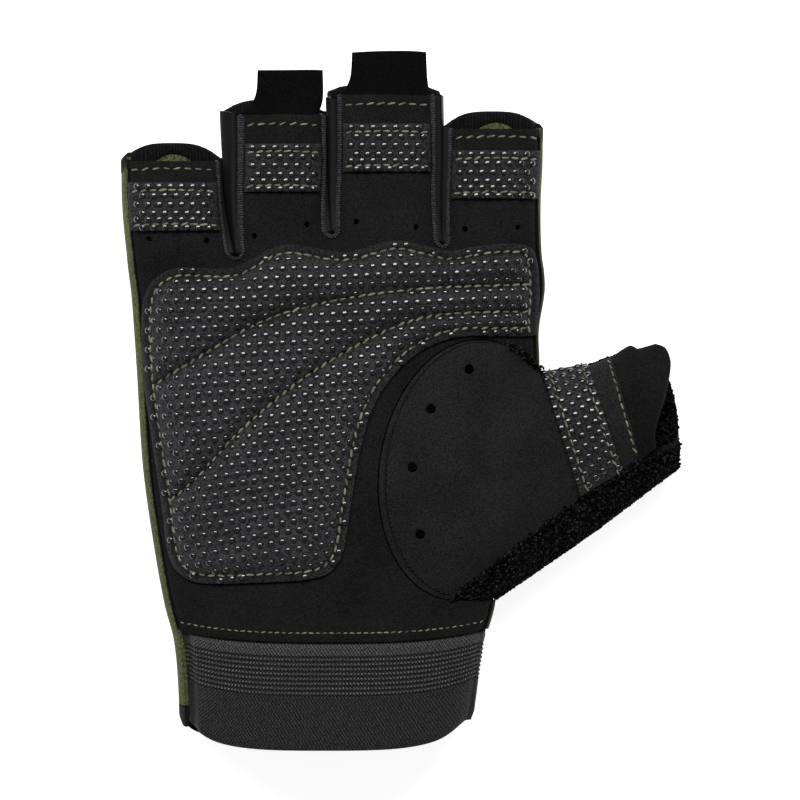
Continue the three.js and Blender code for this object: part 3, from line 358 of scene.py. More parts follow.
def spindle_faces(rings, sides):
    """The faces of a body with a point at each end and rings between them."""
    ids = 1 + np.arange(rings * sides).reshape(rings, sides)
    low, high = ids[0], ids[-1]
    first, last = joined(0, np.roll(low, -1), low), joined(high[-1] + 1, high, np.roll(high, -1))
    return [ring_faces(ids), np.concatenate([first, last])]


def open_edges(faces):
    """The directed edges of faces that no other face shares."""
    pairs = np.concatenate([faces[:, [k, (k + 1) % faces.shape[1]]] for k in range(faces.shape[1])])
    size = int(faces.max()) + 1
    codes = pairs[:, 0].astype(np.int64) * size + pairs[:, 1]
    reverse = pairs[:, 1].astype(np.int64) * size + pairs[:, 0]
    return pairs[~np.isin(codes, reverse)]


def wall(points, faces, outer, inner):
    """A closed wall between two offsets along the surface's normals."""
    normals = normals_of(points, faces)
    top = points + normals * np.reshape(outer, (-1, 1))
    low = points + normals * np.reshape(inner, (-1, 1))
    count = len(points)
    edges = open_edges(faces)
    rim = joined(edges[:, 1], edges[:, 0], edges[:, 0] + count, edges[:, 1] + count)
    return np.concatenate([top, low]), [faces, faces[:, ::-1] + count, rim]


def mesh_object(name, points, face_sets, uv=None, shade=None, sharp=50):
    """A mesh in the row frame. uv is in millimetres, and shade is a number for each point."""
    mesh = bpy.data.meshes.new(name)
    count = len(points)
    used = np.zeros(count, bool)
    for faces in face_sets:
        used[faces.ravel()] = True
    remap = np.cumsum(used) - 1
    mesh.vertices.add(int(used.sum()))
    placed = (points[used] + PLAN_TO_FRAME) / METRE
    mesh.vertices.foreach_set("co", placed.astype(np.float32).ravel())
    loops = np.concatenate([remap[f].ravel() for f in face_sets])
    totals = np.concatenate([np.full(len(f), f.shape[1]) for f in face_sets])
    mesh.loops.add(len(loops))
    mesh.loops.foreach_set("vertex_index", loops.astype(np.int32))
    mesh.polygons.add(len(totals))
    starts = np.concatenate([[0], np.cumsum(totals)[:-1]])
    mesh.polygons.foreach_set("loop_start", starts.astype(np.int32))
    mesh.polygons.foreach_set("loop_total", totals.astype(np.int32))
    mesh.update(calc_edges=True)
    mesh.validate()
    if uv is not None:
        flat = np.resize(uv, (count, 2))[used][loops] / METRE
        layer = mesh.uv_layers.new(name="UVMap")
        layer.data.foreach_set("uv", flat.astype(np.float32).ravel())
    if shade is not None:
        values = np.resize(shade, count)[used]
        attribute = mesh.attributes.new("shade", "FLOAT", "POINT")
        attribute.data.foreach_set("value", values.astype(np.float32))
    mesh.shade_smooth()
    mesh.set_sharp_from_angle(angle=math.radians(sharp))
    obj = bpy.data.objects.new(name, mesh)
    bpy.context.scene.collection.objects.link(obj)
    return obj


def lengths_along(points):
    """Running length along the last-but-one axis of rows of points."""
    steps = np.linalg.norm(np.diff(points, axis=-2), axis=-1)
    start = np.zeros(steps.shape[:-1] + (1,))
    return np.concatenate([start, np.cumsum(steps, axis=-1)], -1)


def grid_uv(grid):
    """Plan lengths over a grid of points: across and along, in millimetres."""
    across = lengths_along(grid)
    middle = across[:, [across.shape[1] // 2]]
    along = lengths_along(grid.transpose(1, 0, 2)).T
    return joined(across - middle, along).reshape(-1, 2)


def grid_wall(name, grid, outer, inner, flip=False, shade=None, sharp=50):
    """A wall on a grid of points, between two offsets along its normals."""
    faces = grid_faces(*grid.shape[:2])
    if flip:
        faces = faces[:, ::-1]
    points, sets = wall(grid.reshape(-1, 3), faces, outer, inner)
    return mesh_object(name, points, sets, uv=grid_uv(grid), shade=shade, sharp=sharp)


def smooth_curve(points, steps, closed=False):
    """A Catmull-Rom curve through plan points, evenly sampled."""
    p = np.asarray(points, float)
    ends = (p[-1:], p[:2]) if closed else (p[:1] * 2 - p[1:2], p[-1:] * 2 - p[-2:-1])
    padded = np.concatenate([ends[0], p, ends[1]])
    t = np.linspace(0, 1, 16, endpoint=False)[:, None]
    pieces = []
    for k in range(len(padded) - 3):
        a, b, c, d = padded[k:k + 4]
        pieces.append(0.5 * (2 * b + (c - a) * t + (2 * a - 5 * b + 4 * c - d) * t**2
                             + (3 * b - a - 3 * c + d) * t**3))
    line = np.concatenate(pieces + ([] if closed else [p[-1:]]))
    return even(line, steps, closed)


def even(line, count, closed=False):
    """The same line with its points evenly spaced."""
    if closed:
        line = np.concatenate([line, line[:1]])
    reach = lengths_along(line)
    at = np.linspace(0, reach[-1], count + (1 if closed else 0))
    if closed:
        at = at[:-1]
    return joined(*(np.interp(at, reach, column) for column in line.T))


def spaced(line, pitch):
    """Points along a line about a pitch apart, with their directions."""
    length = lengths_along(line)[-1]
    fine = even(line, max(int(round(length / pitch)), 1) * 2 + 1)
    ahead = np.gradient(fine, axis=0)
    return fine[1::2], ahead[1::2]


def inside(points, loop):
    x, y = points[:, 0], points[:, 1]
    found = np.zeros(len(points), bool)
    for (x0, y0), (x1, y1) in zip(loop, np.roll(loop, -1, 0)):
        if y0 == y1:
            continue
        crosses = ((y0 > y) != (y1 > y)) & (x < (x1 - x0) * (y - y0) / (y1 - y0) + x0)
        found ^= crosses
    return found


def distance_to(points, line, closed=False):
    """The distance from plan points to a line."""
    best = np.full(len(points), 1e9)
    ends = np.roll(line, -1, 0) if closed else line[1:]
    starts = line if closed else line[:-1]
    for a, b in zip(starts, ends):
        d = b - a
        t = np.clip(((points - a) @ d) / max(d @ d, 1e-12), 0, 1)
        best = np.minimum(best, np.linalg.norm(points - a - t[:, None] * d, axis=1))
    return best


# The height of an even-sided triangle's rows, and how near its edge a mesh's inner points come
ROW_SHARE = 0.87
FROM_OUTLINE = 0.5
FROM_LINE = 0.45


def plan_mesh(outline, spacing, holes=(), lines=()):
    """Triangles that fill an outline on the plan, with holes left out and lines kept as edges."""
    low, high = outline.min(0), outline.max(0)
    rows = np.arange(low[1], high[1], spacing * ROW_SHARE)
    inner = np.concatenate([joined(np.arange(low[0] + (i % 2) * spacing / 2, high[0], spacing), y)
                            for i, y in enumerate(rows)])
    inner = inner[inside(inner, outline)]
    clear = distance_to(inner, outline, True) > spacing * FROM_OUTLINE
    for hole in holes:
        clear &= ~inside(inner, hole) & (distance_to(inner, hole, True) > spacing * FROM_LINE)
    for line in lines:
        clear &= distance_to(inner, line) > spacing * FROM_LINE
    inner = inner[clear]
    vertices, edges = [], []
    for loop in [outline, *holes]:
        start = len(vertices)
        vertices += [Vector(p) for p in loop]
        edges += [(start + i, start + (i + 1) % len(loop)) for i in range(len(loop))]
    for line in lines:
        start = len(vertices)
        vertices += [Vector(p) for p in line]
        edges += [(start + i, start + i + 1) for i in range(len(line) - 1)]
    vertices += [Vector(p) for p in inner]
    made, _, faces, _, _, _ = delaunay_2d_cdt(vertices, edges, [], 1, 1e-5, False)
    points = np.array([[v.x, v.y] for v in made])
    faces = np.array([f for f in faces if len(f) == 3])
    centres = points[faces].mean(1)
    keep = inside(centres, outline)
    for hole in holes:
        keep &= ~inside(centres, hole)
    faces = faces[keep]
    a, b, c = (points[faces[:, k]] for k in (0, 1, 2))
    turn = (b - a)[:, 0] * (c - a)[:, 1] - (b - a)[:, 1] * (c - a)[:, 0]
    faces[turn < 0] = faces[turn < 0][:, ::-1]
    return points, faces


SLOPE_STEP = 0.3


def slopes_at(height, x, y):
    """How fast a height function rises along x and along y."""
    step = SLOPE_STEP
    return ((height(x + step, y) - height(x - step, y)) / (2 * step),
            (height(x, y + step) - height(x, y - step)) / (2 * step))


def on_surface(points, height):
    """Plan points lifted to a height function, with the surface's normals."""
    x, y = points.T
    along_x, along_y = slopes_at(height, x, y)
    return joined(x, y, height(x, y)), unit(joined(-along_x, -along_y, 1.0))


def scatter(name, shape, faces, places, normals, headings, scales=None, shades=None):
    """Copies of a small shape, each in its own place: x along the heading, z along the normal."""
    headings = unit(headings - normals * np.sum(headings * normals, 1, keepdims=True))
    across = np.cross(normals, headings)
    shape = np.asarray(shape)
    scaled = shape[None] * (np.ones((len(places), 1, 1)) if scales is None else scales)
    points = (places[:, None] + scaled[..., :1] * headings[:, None]
              + scaled[..., 1:2] * across[:, None] + scaled[..., 2:] * normals[:, None])
    offsets = (np.arange(len(places)) * len(shape))[:, None, None]
    sets = [(np.asarray(f)[None] + offsets).reshape(-1, np.asarray(f).shape[1]) for f in faces]
    shade = None if shades is None else np.repeat(shades, len(shape))
    return mesh_object(name, points.reshape(-1, 3), sets, shade=shade, sharp=FINE_SHARP)


def bead(rings, sides):
    """A closed body round the x axis from rings of (x, radius), with its end points."""
    angles = np.arange(sides) * 2 * np.pi / sides
    points = [[rings[0][0], 0, 0]]
    for x, radius in rings[1:-1]:
        points += [[x, radius * math.cos(a), radius * math.sin(a)] for a in angles]
    points.append([rings[-1][0], 0, 0])
    return np.array(points), [faces[:, ::-1] for faces in spindle_faces(len(rings) - 2, sides)]


# Materials
# Light on a level face from all round and from the key, where 1 shows a white face as white
WORLD_LIGHT = 0.16
KEY_LIGHT = 0.95
LEVEL_LIGHT = WORLD_LIGHT + KEY_LIGHT


def linear(grey):
    """A screen value from 0 to 255 as light."""
    c = grey / 255
    return c / 12.92 if c <= 0.04045 else ((c + 0.055) / 1.055) ** 2.4


def pigment(grey, specular):
    """The base colour that looks like a screen value when lit level, less what its gloss sends back."""
    light = linear(grey)
    return max(light - 0.08 * specular * LEVEL_LIGHT, 0.25 * light) / LEVEL_LIGHT


class Finish:
    """A procedural material: colour mottled and grained, and a bump from layers of texture."""

    def __init__(self, name, colour, roughness, sheen=0.0, specular=0.5):
        self.material = bpy.data.materials.new(name)
        self.material.use_nodes = True
        self.nodes = self.material.node_tree.nodes
        self.links = self.material.node_tree.links
        self.shader = self.nodes["Principled BSDF"]
        self.colour = tuple(pigment(c, specular) for c in colour)
        tint = (*(min(c * 6 + 0.05, 1) for c in self.colour), 1)
        self.set({"Roughness": roughness, "Specular IOR Level": specular, "Sheen Weight": sheen,
                  "Sheen Roughness": 0.45, "Sheen Tint": tint})
        self.place = self.nodes.new("ShaderNodeTexCoord")
        self.tone = None
        self.height = None

    def set(self, values, node=None):
        """Sets sockets of the shader, or of another node, by their names."""
        for name, value in values.items():
            (node or self.shader).inputs[name].default_value = value

    def coordinates(self, uv=False, stretch=(1, 1, 1), turn=0.0):
        mapping = self.nodes.new("ShaderNodeMapping")
        self.set({"Scale": stretch, "Rotation": (0, 0, math.radians(turn))}, mapping)
        self.links.new(self.place.outputs["UV" if uv else "Object"], mapping.inputs["Vector"])
        return mapping.outputs["Vector"]

    def texture(self, kind, output, values, **place):
        node = self.nodes.new("ShaderNodeTex" + kind)
        self.set(values, node)
        self.links.new(self.coordinates(**place), node.inputs["Vector"])
        return node.outputs[output]

    def noise(self, size, detail=2.0, stretch=(1, 1, 1), rough=0.5):
        """Noise with lumps of about a size in millimetres."""
        values = {"Scale": METRE / size, "Detail": detail, "Roughness": rough}
        return self.texture("Noise", "Fac", values, stretch=stretch)

    def cells(self, size):
        return self.texture("Voronoi", "Distance", {"Scale": METRE / size})

    def waves(self, pitch, turn=0.0, distortion=0.0):
        """Ribs with a pitch in millimetres, across u, or across v at a turn of 90."""
        scale = METRE * 2 * math.pi / 20 / pitch
        values = {"Scale": scale, "Distortion": distortion, "Detail Scale": 1.0}
        return self.texture("Wave", "Fac", values, uv=True, turn=turn)

    def attribute(self):
        """The number that each point of the mesh carries."""
        node = self.nodes.new("ShaderNodeAttribute")
        node.attribute_name = "shade"
        return node.outputs["Fac"]

    def math(self, operation, a, b):
        node = self.nodes.new("ShaderNodeMath")
        node.operation = operation
        for socket, value in zip(node.inputs, (a, b)):
            if isinstance(value, (int, float)):
                socket.default_value = value
            else:
                self.links.new(value, socket)
        return node.outputs[0]

    def spread(self, value, low, high, out_low, out_high):
        node = self.nodes.new("ShaderNodeMapRange")
        node.interpolation_type = "SMOOTHSTEP"
        self.set({"From Min": low, "From Max": high, "To Min": out_low, "To Max": out_high}, node)
        self.links.new(value, node.inputs["Value"])
        return node.outputs["Result"]

    def shade(self, value, dark, light, low=0.3, high=0.7):
        """The colour times a factor, from dark to light as the texture goes from low to high."""
        factor = self.spread(value, low, high, dark, light)
        self.tone = factor if self.tone is None else self.math("MULTIPLY", self.tone, factor)

    def raise_(self, value, millimetres):
        """Adds a texture to the bump, with its height in millimetres."""
        scaled = self.math("MULTIPLY", value, millimetres / METRE)
        self.height = scaled if self.height is None else self.math("ADD", self.height, scaled)

    def done(self):
        """Joins the colour and the bump to the shader."""
        scale = self.nodes.new("ShaderNodeVectorMath")
        scale.operation = "SCALE"
        scale.inputs[0].default_value = self.colour
        self.links.new(self.tone, scale.inputs["Scale"])
        self.links.new(scale.outputs["Vector"], self.shader.inputs["Base Color"])
        if self.height is not None:
            bump = self.nodes.new("ShaderNodeBump")
            bump.inputs["Distance"].default_value = 1.0
            self.links.new(self.height, bump.inputs["Height"])
            self.links.new(bump.outputs["Normal"], self.shader.inputs["Normal"])
        return self.material


def suede(name, grey):
    f = Finish(name, grey, 0.95, sheen=0.12, specular=0.04)
    f.shade(f.noise(14, 3), 0.86, 1.14)
    f.shade(f.noise(0.42, 3, rough=0.7), 0.6, 1.42, 0.37, 0.63)
    f.raise_(f.noise(0.45, 3), 0.1)
    f.raise_(f.noise(5, 3), 0.25)
    return f.done()


def printed_cloth():
    f = Finish("printed_cloth", (60, 60, 62), 0.75, sheen=0.15, specular=0.12)
    # The tone each piece carries, with painted shade along its seams and stitched lines
    f.shade(f.attribute(), 0.25, 1.0, 0.0, 1.0)
    f.shade(f.noise(9, 2), 0.88, 1.12)
    f.shade(f.noise(0.6, 4, rough=0.7), 0.3, 1.75, 0.37, 0.63)
    f.raise_(f.noise(0.6, 4, rough=0.7), 0.25)
    return f.done()


def dot_gel():
    f = Finish("dot_gel", (13, 13, 14), 0.19, specular=1.0)
    f.set({"Coat Weight": 0.3, "Coat Roughness": 0.17, "Coat IOR": 1.8})
    f.shade(f.noise(3, 2), 0.8, 1.2)
    f.raise_(f.noise(0.5, 2), 0.03)
    return f.done()


def stretch(name, colour, patchy=False):
    f = Finish(name, colour, 0.9, sheen=0.2, specular=0.06)
    f.shade(f.noise(7, 3), 0.86, 1.14)
    if patchy:
        f.shade(f.attribute(), 0.1, 1.0, 0.0, 1.0)
    f.shade(f.noise(0.6, 3, rough=0.7), 0.45, 1.6, 0.37, 0.63)
    f.raise_(f.cells(0.55), 0.12)
    f.raise_(f.noise(0.5, 3), 0.1)
    return f.done()


def satin():
    f = Finish("strip_satin", (34, 34, 35), 0.55, sheen=0.1, specular=0.14)
    f.shade(f.noise(6, 2, stretch=(1.5, 0.3, 1)), 0.75, 1.25)
    f.shade(f.noise(0.4, 2), 0.8, 1.2)
    f.raise_(f.noise(0.35, 2), 0.05)
    return f.done()


def thread(name, colour):
    f = Finish(name, colour, 0.6, sheen=0.15, specular=0.2)
    f.shade(f.noise(2.2, 2), 0.5, 1.35)
    f.shade(f.noise(0.3, 2), 0.75, 1.25)
    f.raise_(f.noise(0.25, 2), 0.05)
    return f.done()


def knit(name, colour):
    f = Finish(name, colour, 0.8, sheen=0.2, specular=0.1)
    f.shade(f.attribute(), 0.2, 1.3, 0.0, 1.0)
    f.shade(f.noise(0.5, 3, rough=0.75), 0.4, 1.7, 0.38, 0.62)
    f.raise_(f.noise(0.4, 3), 0.14)
    return f.done()


def elastic_cloth():
    """A plain tape woven in a fine twill, whose ribs are in its mesh."""
    f = Finish("elastic_weave", (84, 84, 84), 0.8, sheen=0.15, specular=0.08)
    f.shade(f.attribute(), 0.2, 1.3, 0.0, 1.0)
    f.shade(f.waves(0.6, turn=40, distortion=1.5), 0.6, 1.4, 0.2, 0.8)
    f.shade(f.waves(0.72, turn=-35, distortion=1.5), 0.65, 1.35, 0.2, 0.8)
    f.shade(f.noise(0.4, 3, rough=0.75), 0.55, 1.45, 0.38, 0.62)
    f.raise_(f.waves(0.6, turn=40, distortion=1.5), 0.06)
    f.raise_(f.noise(0.4, 3), 0.12)
    return f.done()


def terry_cloth():
    f = Finish("terry_cloth", (29, 29, 29), 1.0, sheen=0.25, specular=0.03)
    f.shade(f.attribute(), 0.15, 2.2, 0.1, 0.9)
    f.shade(f.noise(0.45, 3, rough=0.75), 0.3, 2.0, 0.38, 0.62)
    f.raise_(f.cells(0.7), 0.3)
    f.raise_(f.noise(0.5, 3), 0.3)
    return f.done()


MAT = SimpleNamespace(
    palm=suede("palm_suede", (33, 33, 33)),
    thumb=suede("thumb_suede", (39, 39, 39)),
    tab=suede("tab_suede", (21, 21, 22)),
    thumb_tab=suede("thumb_tab_suede", (29, 29, 29)),
    cloth=printed_cloth(),
    gel=dot_gel(),
    olive=stretch("olive_stretch", (80, 84, 56), patchy=True),
    satin=satin(),
    overlock=knit("overlock_thread", (62, 62, 65)),
    binding=knit("binding_knit", (33, 33, 34)),
    elastic=elastic_cloth(),
    terry=terry_cloth(),
    thread=thread("stitch_thread", (124, 128, 106)),
    faint_thread=thread("wrist_thread", (128, 131, 106)),
    dark_thread=thread("dark_thread", (10, 10, 10)),
    tape=stretch("tape_weave", (20, 20, 20)),
)


def finish_piece(obj, material, nodes=()):
    obj.data.materials.append(material)
    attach(obj, "root")
    if nodes:
        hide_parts(*nodes)
    return obj


# Palm
def slot_opening(y, start, radius):
    """How open a slot is past its round end, from 0 to 1."""
    return np.sqrt(np.clip(1 - (1 - np.clip((y - start) / radius, 0, 1)) ** 2, 0, 1))


def slot_loop(k, steps=26):
    """A slot's edge on the plan, from one finger's hem round the crotch to the next hem."""
    start = SLOT["crotch"][k] * PALM_LENGTH
    radius = SLOT_WIDTH / 2
    legs = []
    for side, f in ((-1, k), (1, k + 1)):
        turn = radius * (1 - np.cos(np.linspace(0, np.pi / 2, 7)))
        y = np.concatenate([start + turn, np.linspace(start + radius, hem_y(f), steps)[1:]])
        x, left, right = slot_at(k, y)
        legs.append(joined(x + (-left if side < 0 else right) * slot_opening(y, start, radius), y))
    return np.concatenate([legs[0][::-1], legs[1][1:]])


def palm_left(y):
    return hand_at(y).left + SEAM_INSET


def palm_right(y):
    return hand_at(y).right - THUMB_SIDE_INSET


SEAM_START = math.asin((THUMB_HOLE_HIGH - SUEDE - SEAM.y) / SEAM.up)
SEAM_END = math.pi * 1.48


def thumb_seam(share, grow=0.0):
    angle = mix(SEAM_START, SEAM_END, np.asarray(share, float))
    reach = np.where(np.cos(angle) > 0, SEAM.right, SEAM.left) + grow
    up = (SEAM.up + grow) * np.sin(angle)
    return joined(SEAM.x + SEAM.shear * up + reach * np.cos(angle), SEAM.y + up)


def circle(x, y, radius, sides=14):
    angles = np.arange(sides) * 2 * np.pi / sides
    return joined(x + radius * np.cos(angles), y + radius * np.sin(angles))


VENT_SHARE = 0.27
VENT_RISE = 2.3


def finger_vents():
    """Two vents on each finger, at equal shares of its width from its middle."""
    vents = []
    for f in range(4):
        for share in (-VENT_SHARE, VENT_SHARE):
            y = crotch_line(f, 0.5 + share) + VENT_RISE
            hand = hand_at(y)
            edges = [hand.left, *(slot_at(k, y)[0] for k in range(3)), hand.right]
            x = (edges[f] + edges[f + 1]) / 2 + share * (edges[f + 1] - edges[f])
            vents.append((x, y))
    return vents


def palm_outline():
    x = np.linspace(palm_left(0), palm_right(0), 70)
    wrist = joined(x, sweep(0.0, x))
    arc = thumb_seam(np.linspace(1, 0, 110), CLEARANCE)
    arc = arc[arc[:, 1] > THUMB_HOLE_LOW - 0.6]
    arc[-1, 1] = THUMB_HOLE_HIGH
    foot_y = arc[0, 1]
    right_low = [(palm_right(y), y) for y in np.linspace(wrist[-1, 1], foot_y, 8)[1:]]
    hole_low = joined(np.linspace(right_low[-1][0], arc[0, 0], 24)[1:-1], foot_y)
    y = np.linspace(THUMB_HOLE_HIGH, hem_y(3), 60)
    right_high = joined(palm_right(y), y)[1:]
    arc = arc[arc[:, 0] < palm_right(THUMB_HOLE_HIGH) - 0.4]
    crotch = [(palm_right(THUMB_HOLE_HIGH), THUMB_HOLE_HIGH)]
    parts = [wrist, right_low, hole_low, arc, crotch, right_high]
    end_x = right_high[-1, 0]
    for k in (2, 1, 0):
        loop = slot_loop(k)
        hem = hem_y(k + 1)
        start_x = loop[-1, 0]
        parts.append(joined(np.linspace(end_x, start_x, 22)[1:-1], hem))
        parts.append(loop[::-1])
        end_x = loop[0, 0]
    hem = hem_y(0)
    parts.append(joined(np.linspace(end_x, palm_left(hem), 22)[1:], hem))
    y = np.linspace(hem, wrist[0, 1], 110)[1:-1]
    parts.append(joined(palm_left(y), y))
    return np.concatenate([np.asarray(p, float) for p in parts])


# The suede's waves: height, size and seed
CREASES = ((0.22, 17, 3), (0.08, 6, 4))


def creases(points):
    """Small soft waves of suede that isn't stretched quite flat."""
    return sum(high * noise(points, size, seed) for high, size, seed in CREASES)


def lifted(height, thickness):
    """A surface's height raised by a thickness along its normals, a number or a function."""
    def raised(x, y):
        along_x, along_y = slopes_at(height, x, y)
        thick = thickness(x, y) if callable(thickness) else thickness
        return height(x, y) + thick * np.sqrt(1 + along_x**2 + along_y**2)
    return raised


def plan_piece(name, outline, spacing, height, outer, inner, holes=(), lines=(),
               roll=0.35, roll_width=0.7, shade=None):
    """A wall over an outline, whose cut edges are rolled over."""
    plan, faces = plan_mesh(outline, spacing, holes, lines)
    points = joined(*plan.T, height(*plan.T))
    edge = distance_to(plan, outline, True)
    rolled = roll * bell(edge, roll_width)
    thick = outer(plan) if callable(outer) else outer
    points, sets = wall(points, faces, thick - rolled, inner)
    tone = shade(plan) if shade else None
    return mesh_object(name, points, sets, uv=plan, shade=tone)


def palm_height(x, y):
    return palm_top(x, y) + creases(joined(x, y, 0.0)) * smooth(y, 4, 14)


vents = [circle(x, y, VENT_RADIUS) for x, y in finger_vents()]
palm = plan_piece("palm_suede", palm_outline(), 1.1, palm_height, 0.0, -SUEDE, holes=vents, roll=0.3)
finish_piece(palm, MAT.palm, ["palm_panel"])

# Grip pad
PAD_OUTLINE = [
    (-0.92, 0.84), (-0.88, 0.92), (-0.76, 0.959), (-0.55, 0.957), (-0.45, 0.966), (-0.31, 1.007),
    (-0.2, 1.018), (-0.01, 1.001), (0.1, 1.004), (0.28, 1.029), (0.4, 1.02), (0.55, 1.003),
    (0.68, 1.015), (0.83, 1.022), (0.93, 1.014), (0.965, 0.975), (0.975, 0.9), (0.965, 0.81),
    (0.95, 0.787), (0.78, 0.784), (0.62, 0.784), (0.47, 0.762), (0.35, 0.72), (0.24, 0.655),
    (0.165, 0.575), (0.115, 0.47), (0.075, 0.34), (0.045, 0.24), (-0.01, 0.185), (-0.12, 0.161),
    (-0.35, 0.153), (-0.6, 0.15), (-0.72, 0.168), (-0.79, 0.225), (-0.825, 0.36), (-0.87, 0.52),
    (-0.91, 0.68),
]
QUILT_LINES = [
    [(-0.875, 0.655), (-0.69, 0.716), (-0.35, 0.82), (-0.01, 0.874), (0.41, 0.905), (0.96, 0.918)],
    [(-0.81, 0.35), (-0.65, 0.425), (-0.44, 0.546), (-0.12, 0.686), (0.25, 0.798), (0.52, 0.839),
     (0.96, 0.848)],
]
PAD_UNIT = np.array([PALM_WIDTH / 2, PALM_LENGTH])
PAD_SEAM_INSET = 2.0
QUILT_INSET = 1.6
pad_outline = smooth_curve(np.array(PAD_OUTLINE) * PAD_UNIT, 300, closed=True)
quilts = [smooth_curve(np.array(line) * PAD_UNIT, 90) for line in QUILT_LINES]


def inset(loop, by):
    """A closed loop moved inwards; loops here run clockwise."""
    ahead = unit(np.roll(loop, -1, 0) - np.roll(loop, 1, 0))
    return loop + by * joined(ahead[:, 1], -ahead[:, 0])


pad_seam = inset(pad_outline, PAD_SEAM_INSET)
quilts = [q[inside(q, inset(pad_outline, QUILT_INSET))] for q in quilts]
PAD_SEWN = 0.95
PAD_PUFF = 1.5
PAD_PUFF_REACH = 2.1
RIM_PUFF = 0.25


def seam_distance(plan):
    away = distance_to(plan, pad_seam, True)
    for quilt in quilts:
        away = np.minimum(away, distance_to(plan, quilt))
    return away


def pad_rise(x, y):
    """How thick the pad is over a plan point: sewn down on its seams and swollen between them."""
    p = joined(np.ravel(x), np.ravel(y))
    seam = seam_distance(p)
    puff = 1 - np.exp(-(seam / PAD_PUFF_REACH) ** 1.4)
    rise = PAD_SEWN + np.where(inside(p, pad_seam), PAD_PUFF, RIM_PUFF) * puff
    return np.reshape(rise, np.shape(x))


def pad_height(x, y):
    return palm_top(x, y) + CLEARANCE


pad_face = lifted(pad_height, pad_rise)
# How far from a seam the painted shade in the cloth's dip reaches
SEAM_SHADE_WIDTH = 1.1
RIM_TONE = 0.55
PAD_SHADED_FROM, PAD_SHADED_TO = 66, 82
PAD_SHADED_TONE = 0.6


def pad_tone_and_seam_shade(plan):
    """The cloth's tone: painted shade where it dips into a seam, and darker on its sewn rim and towards
    the fingers.
    """
    seam_shade = np.clip(seam_distance(plan) / SEAM_SHADE_WIDTH, 0, 1)
    rim = np.where(inside(plan, pad_seam), 1.0, RIM_TONE)
    return seam_shade * rim * mix(1, PAD_SHADED_TONE, smooth(plan[:, 1], PAD_SHADED_FROM, PAD_SHADED_TO))


pad_loop = np.concatenate([pad_seam, pad_seam[:1]])
# The pad's mesh carries its tone, with painted shade in its seams
pad = plan_piece("grip_pad", pad_outline, 0.9, pad_height, lambda plan: pad_rise(*plan.T), 0.0,
                 lines=[pad_loop, *quilts], roll=0.5, roll_width=0.5, shade=pad_tone_and_seam_shade)
finish_piece(pad, MAT.cloth, ["palm_pad"])

DOT_PITCH = 2.8
DOT_ROWS = 2.42
DOT_RADIUS = 0.84
DOT_HEIGHT = 0.6
DOT_SUNK = 0.15
DOT_FROM_EDGE = 0.75
DOT_FROM_SEAM = 0.35
DOT_FROM_QUILT = 0.45
# A dot's rings, as shares of its radius: how high, and how wide
DOT = [(0.0, 1.0), (0.2, 0.97), (0.38, 0.86), (0.5, 0.66), (0.57, 0.38)]


def dome(radius, sides=12):
    angles = np.arange(sides) * 2 * np.pi / sides
    points = [[0, 0, -DOT_SUNK]]
    for z, share in DOT:
        ring = radius * share
        points += [[ring * math.cos(a), ring * math.sin(a), z * radius] for a in angles]
    points.append([0, 0, DOT_HEIGHT * radius])
    return np.array(points), spindle_faces(len(DOT), sides)


def dot_lattice(low, high, slope):
    """Staggered rows of dots over a box on the plan. slope(y) is how fast a row rises there."""
    across = np.arange(low[0] - DOT_PITCH, high[0] + DOT_PITCH, DOT_PITCH)
    found = []
    for i, y in enumerate(np.arange(low[1] - 12, high[1] + 4, DOT_ROWS)):
        x = across + (i % 2) * DOT_PITCH / 2
        found.append(joined(x, y + slope(y) * (x - low[0])))
    return np.concatenate(found)


def pad_slope(y):
    return 0.16 - 0.13 * smooth(y, 15, 92)


def dots(name, places, face):
    points, normals = on_surface(places, face)
    headings = np.tile([1.0, 0.0, 0.0], (len(points), 1))
    shape, faces = dome(DOT_RADIUS)
    obj = scatter(name, shape, faces, points, normals, headings)
    return finish_piece(obj, MAT.gel)


lattice_points = dot_lattice(pad_outline.min(0), pad_outline.max(0), pad_slope)
lattice_points = lattice_points[inside(lattice_points, inset(pad_outline, DOT_FROM_EDGE))]
clear = distance_to(lattice_points, pad_seam, True) > DOT_FROM_SEAM
for quilt in quilts:
    clear &= distance_to(lattice_points, quilt) > DOT_FROM_QUILT
dots("grip_pad_dots", lattice_points[clear], pad_face)

# Stitches
# A stitch's rings: how far along, and how wide
STITCH = [(-0.95, 0), (-0.8, 0.17), (-0.3, 0.25), (0.3, 0.25), (0.8, 0.17), (0.95, 0)]
rng = np.random.default_rng(7)


def stitches_at(name, points, normals, headings, length=1.0, width=1.0, material=None,
                slant=10, lift=0.1):
    """A stitch at each point, slanted and sized a little differently each time."""
    shape, faces = bead([(x * length, r * width) for x, r in STITCH], 7)
    across = np.cross(normals, headings)
    turn = np.radians(slant + rng.normal(0, 9, len(points)))[:, None]
    headings = headings * np.cos(turn) + across * np.sin(turn)
    scales = 1 + rng.normal(0, 0.1, (len(points), 1, 1)) * np.ones((1, 1, 3))
    obj = scatter(name, shape, faces, points + normals * lift, normals, headings, scales)
    return finish_piece(obj, material or MAT.thread)


def sew(name, lines, face, pitch=2.45, **options):
    found = [spaced(line, pitch) for line in lines]
    places = np.concatenate([p for p, _ in found])
    ahead = np.concatenate([d for _, d in found])
    points, normals = on_surface(places, face)
    return stitches_at(name, points, normals, unit(joined(*ahead.T, 0.0)), **options)


sew("pad_stitches", [pad_loop, *quilts], pad_face, 2.4, width=1.25)


# Finger fronts
def finger_span(f, y, edge=0.0):
    """The palm's edges of one finger at a place along it."""
    left = palm_left(y) if f == 0 else float(slot_at(f - 1, y)[0] + slot_at(f - 1, y)[2])
    right = palm_right(y) if f == 3 else float(slot_at(f, y)[0] - slot_at(f, y)[1])
    return left + edge, right - edge


STITCH_BOW = 0.4
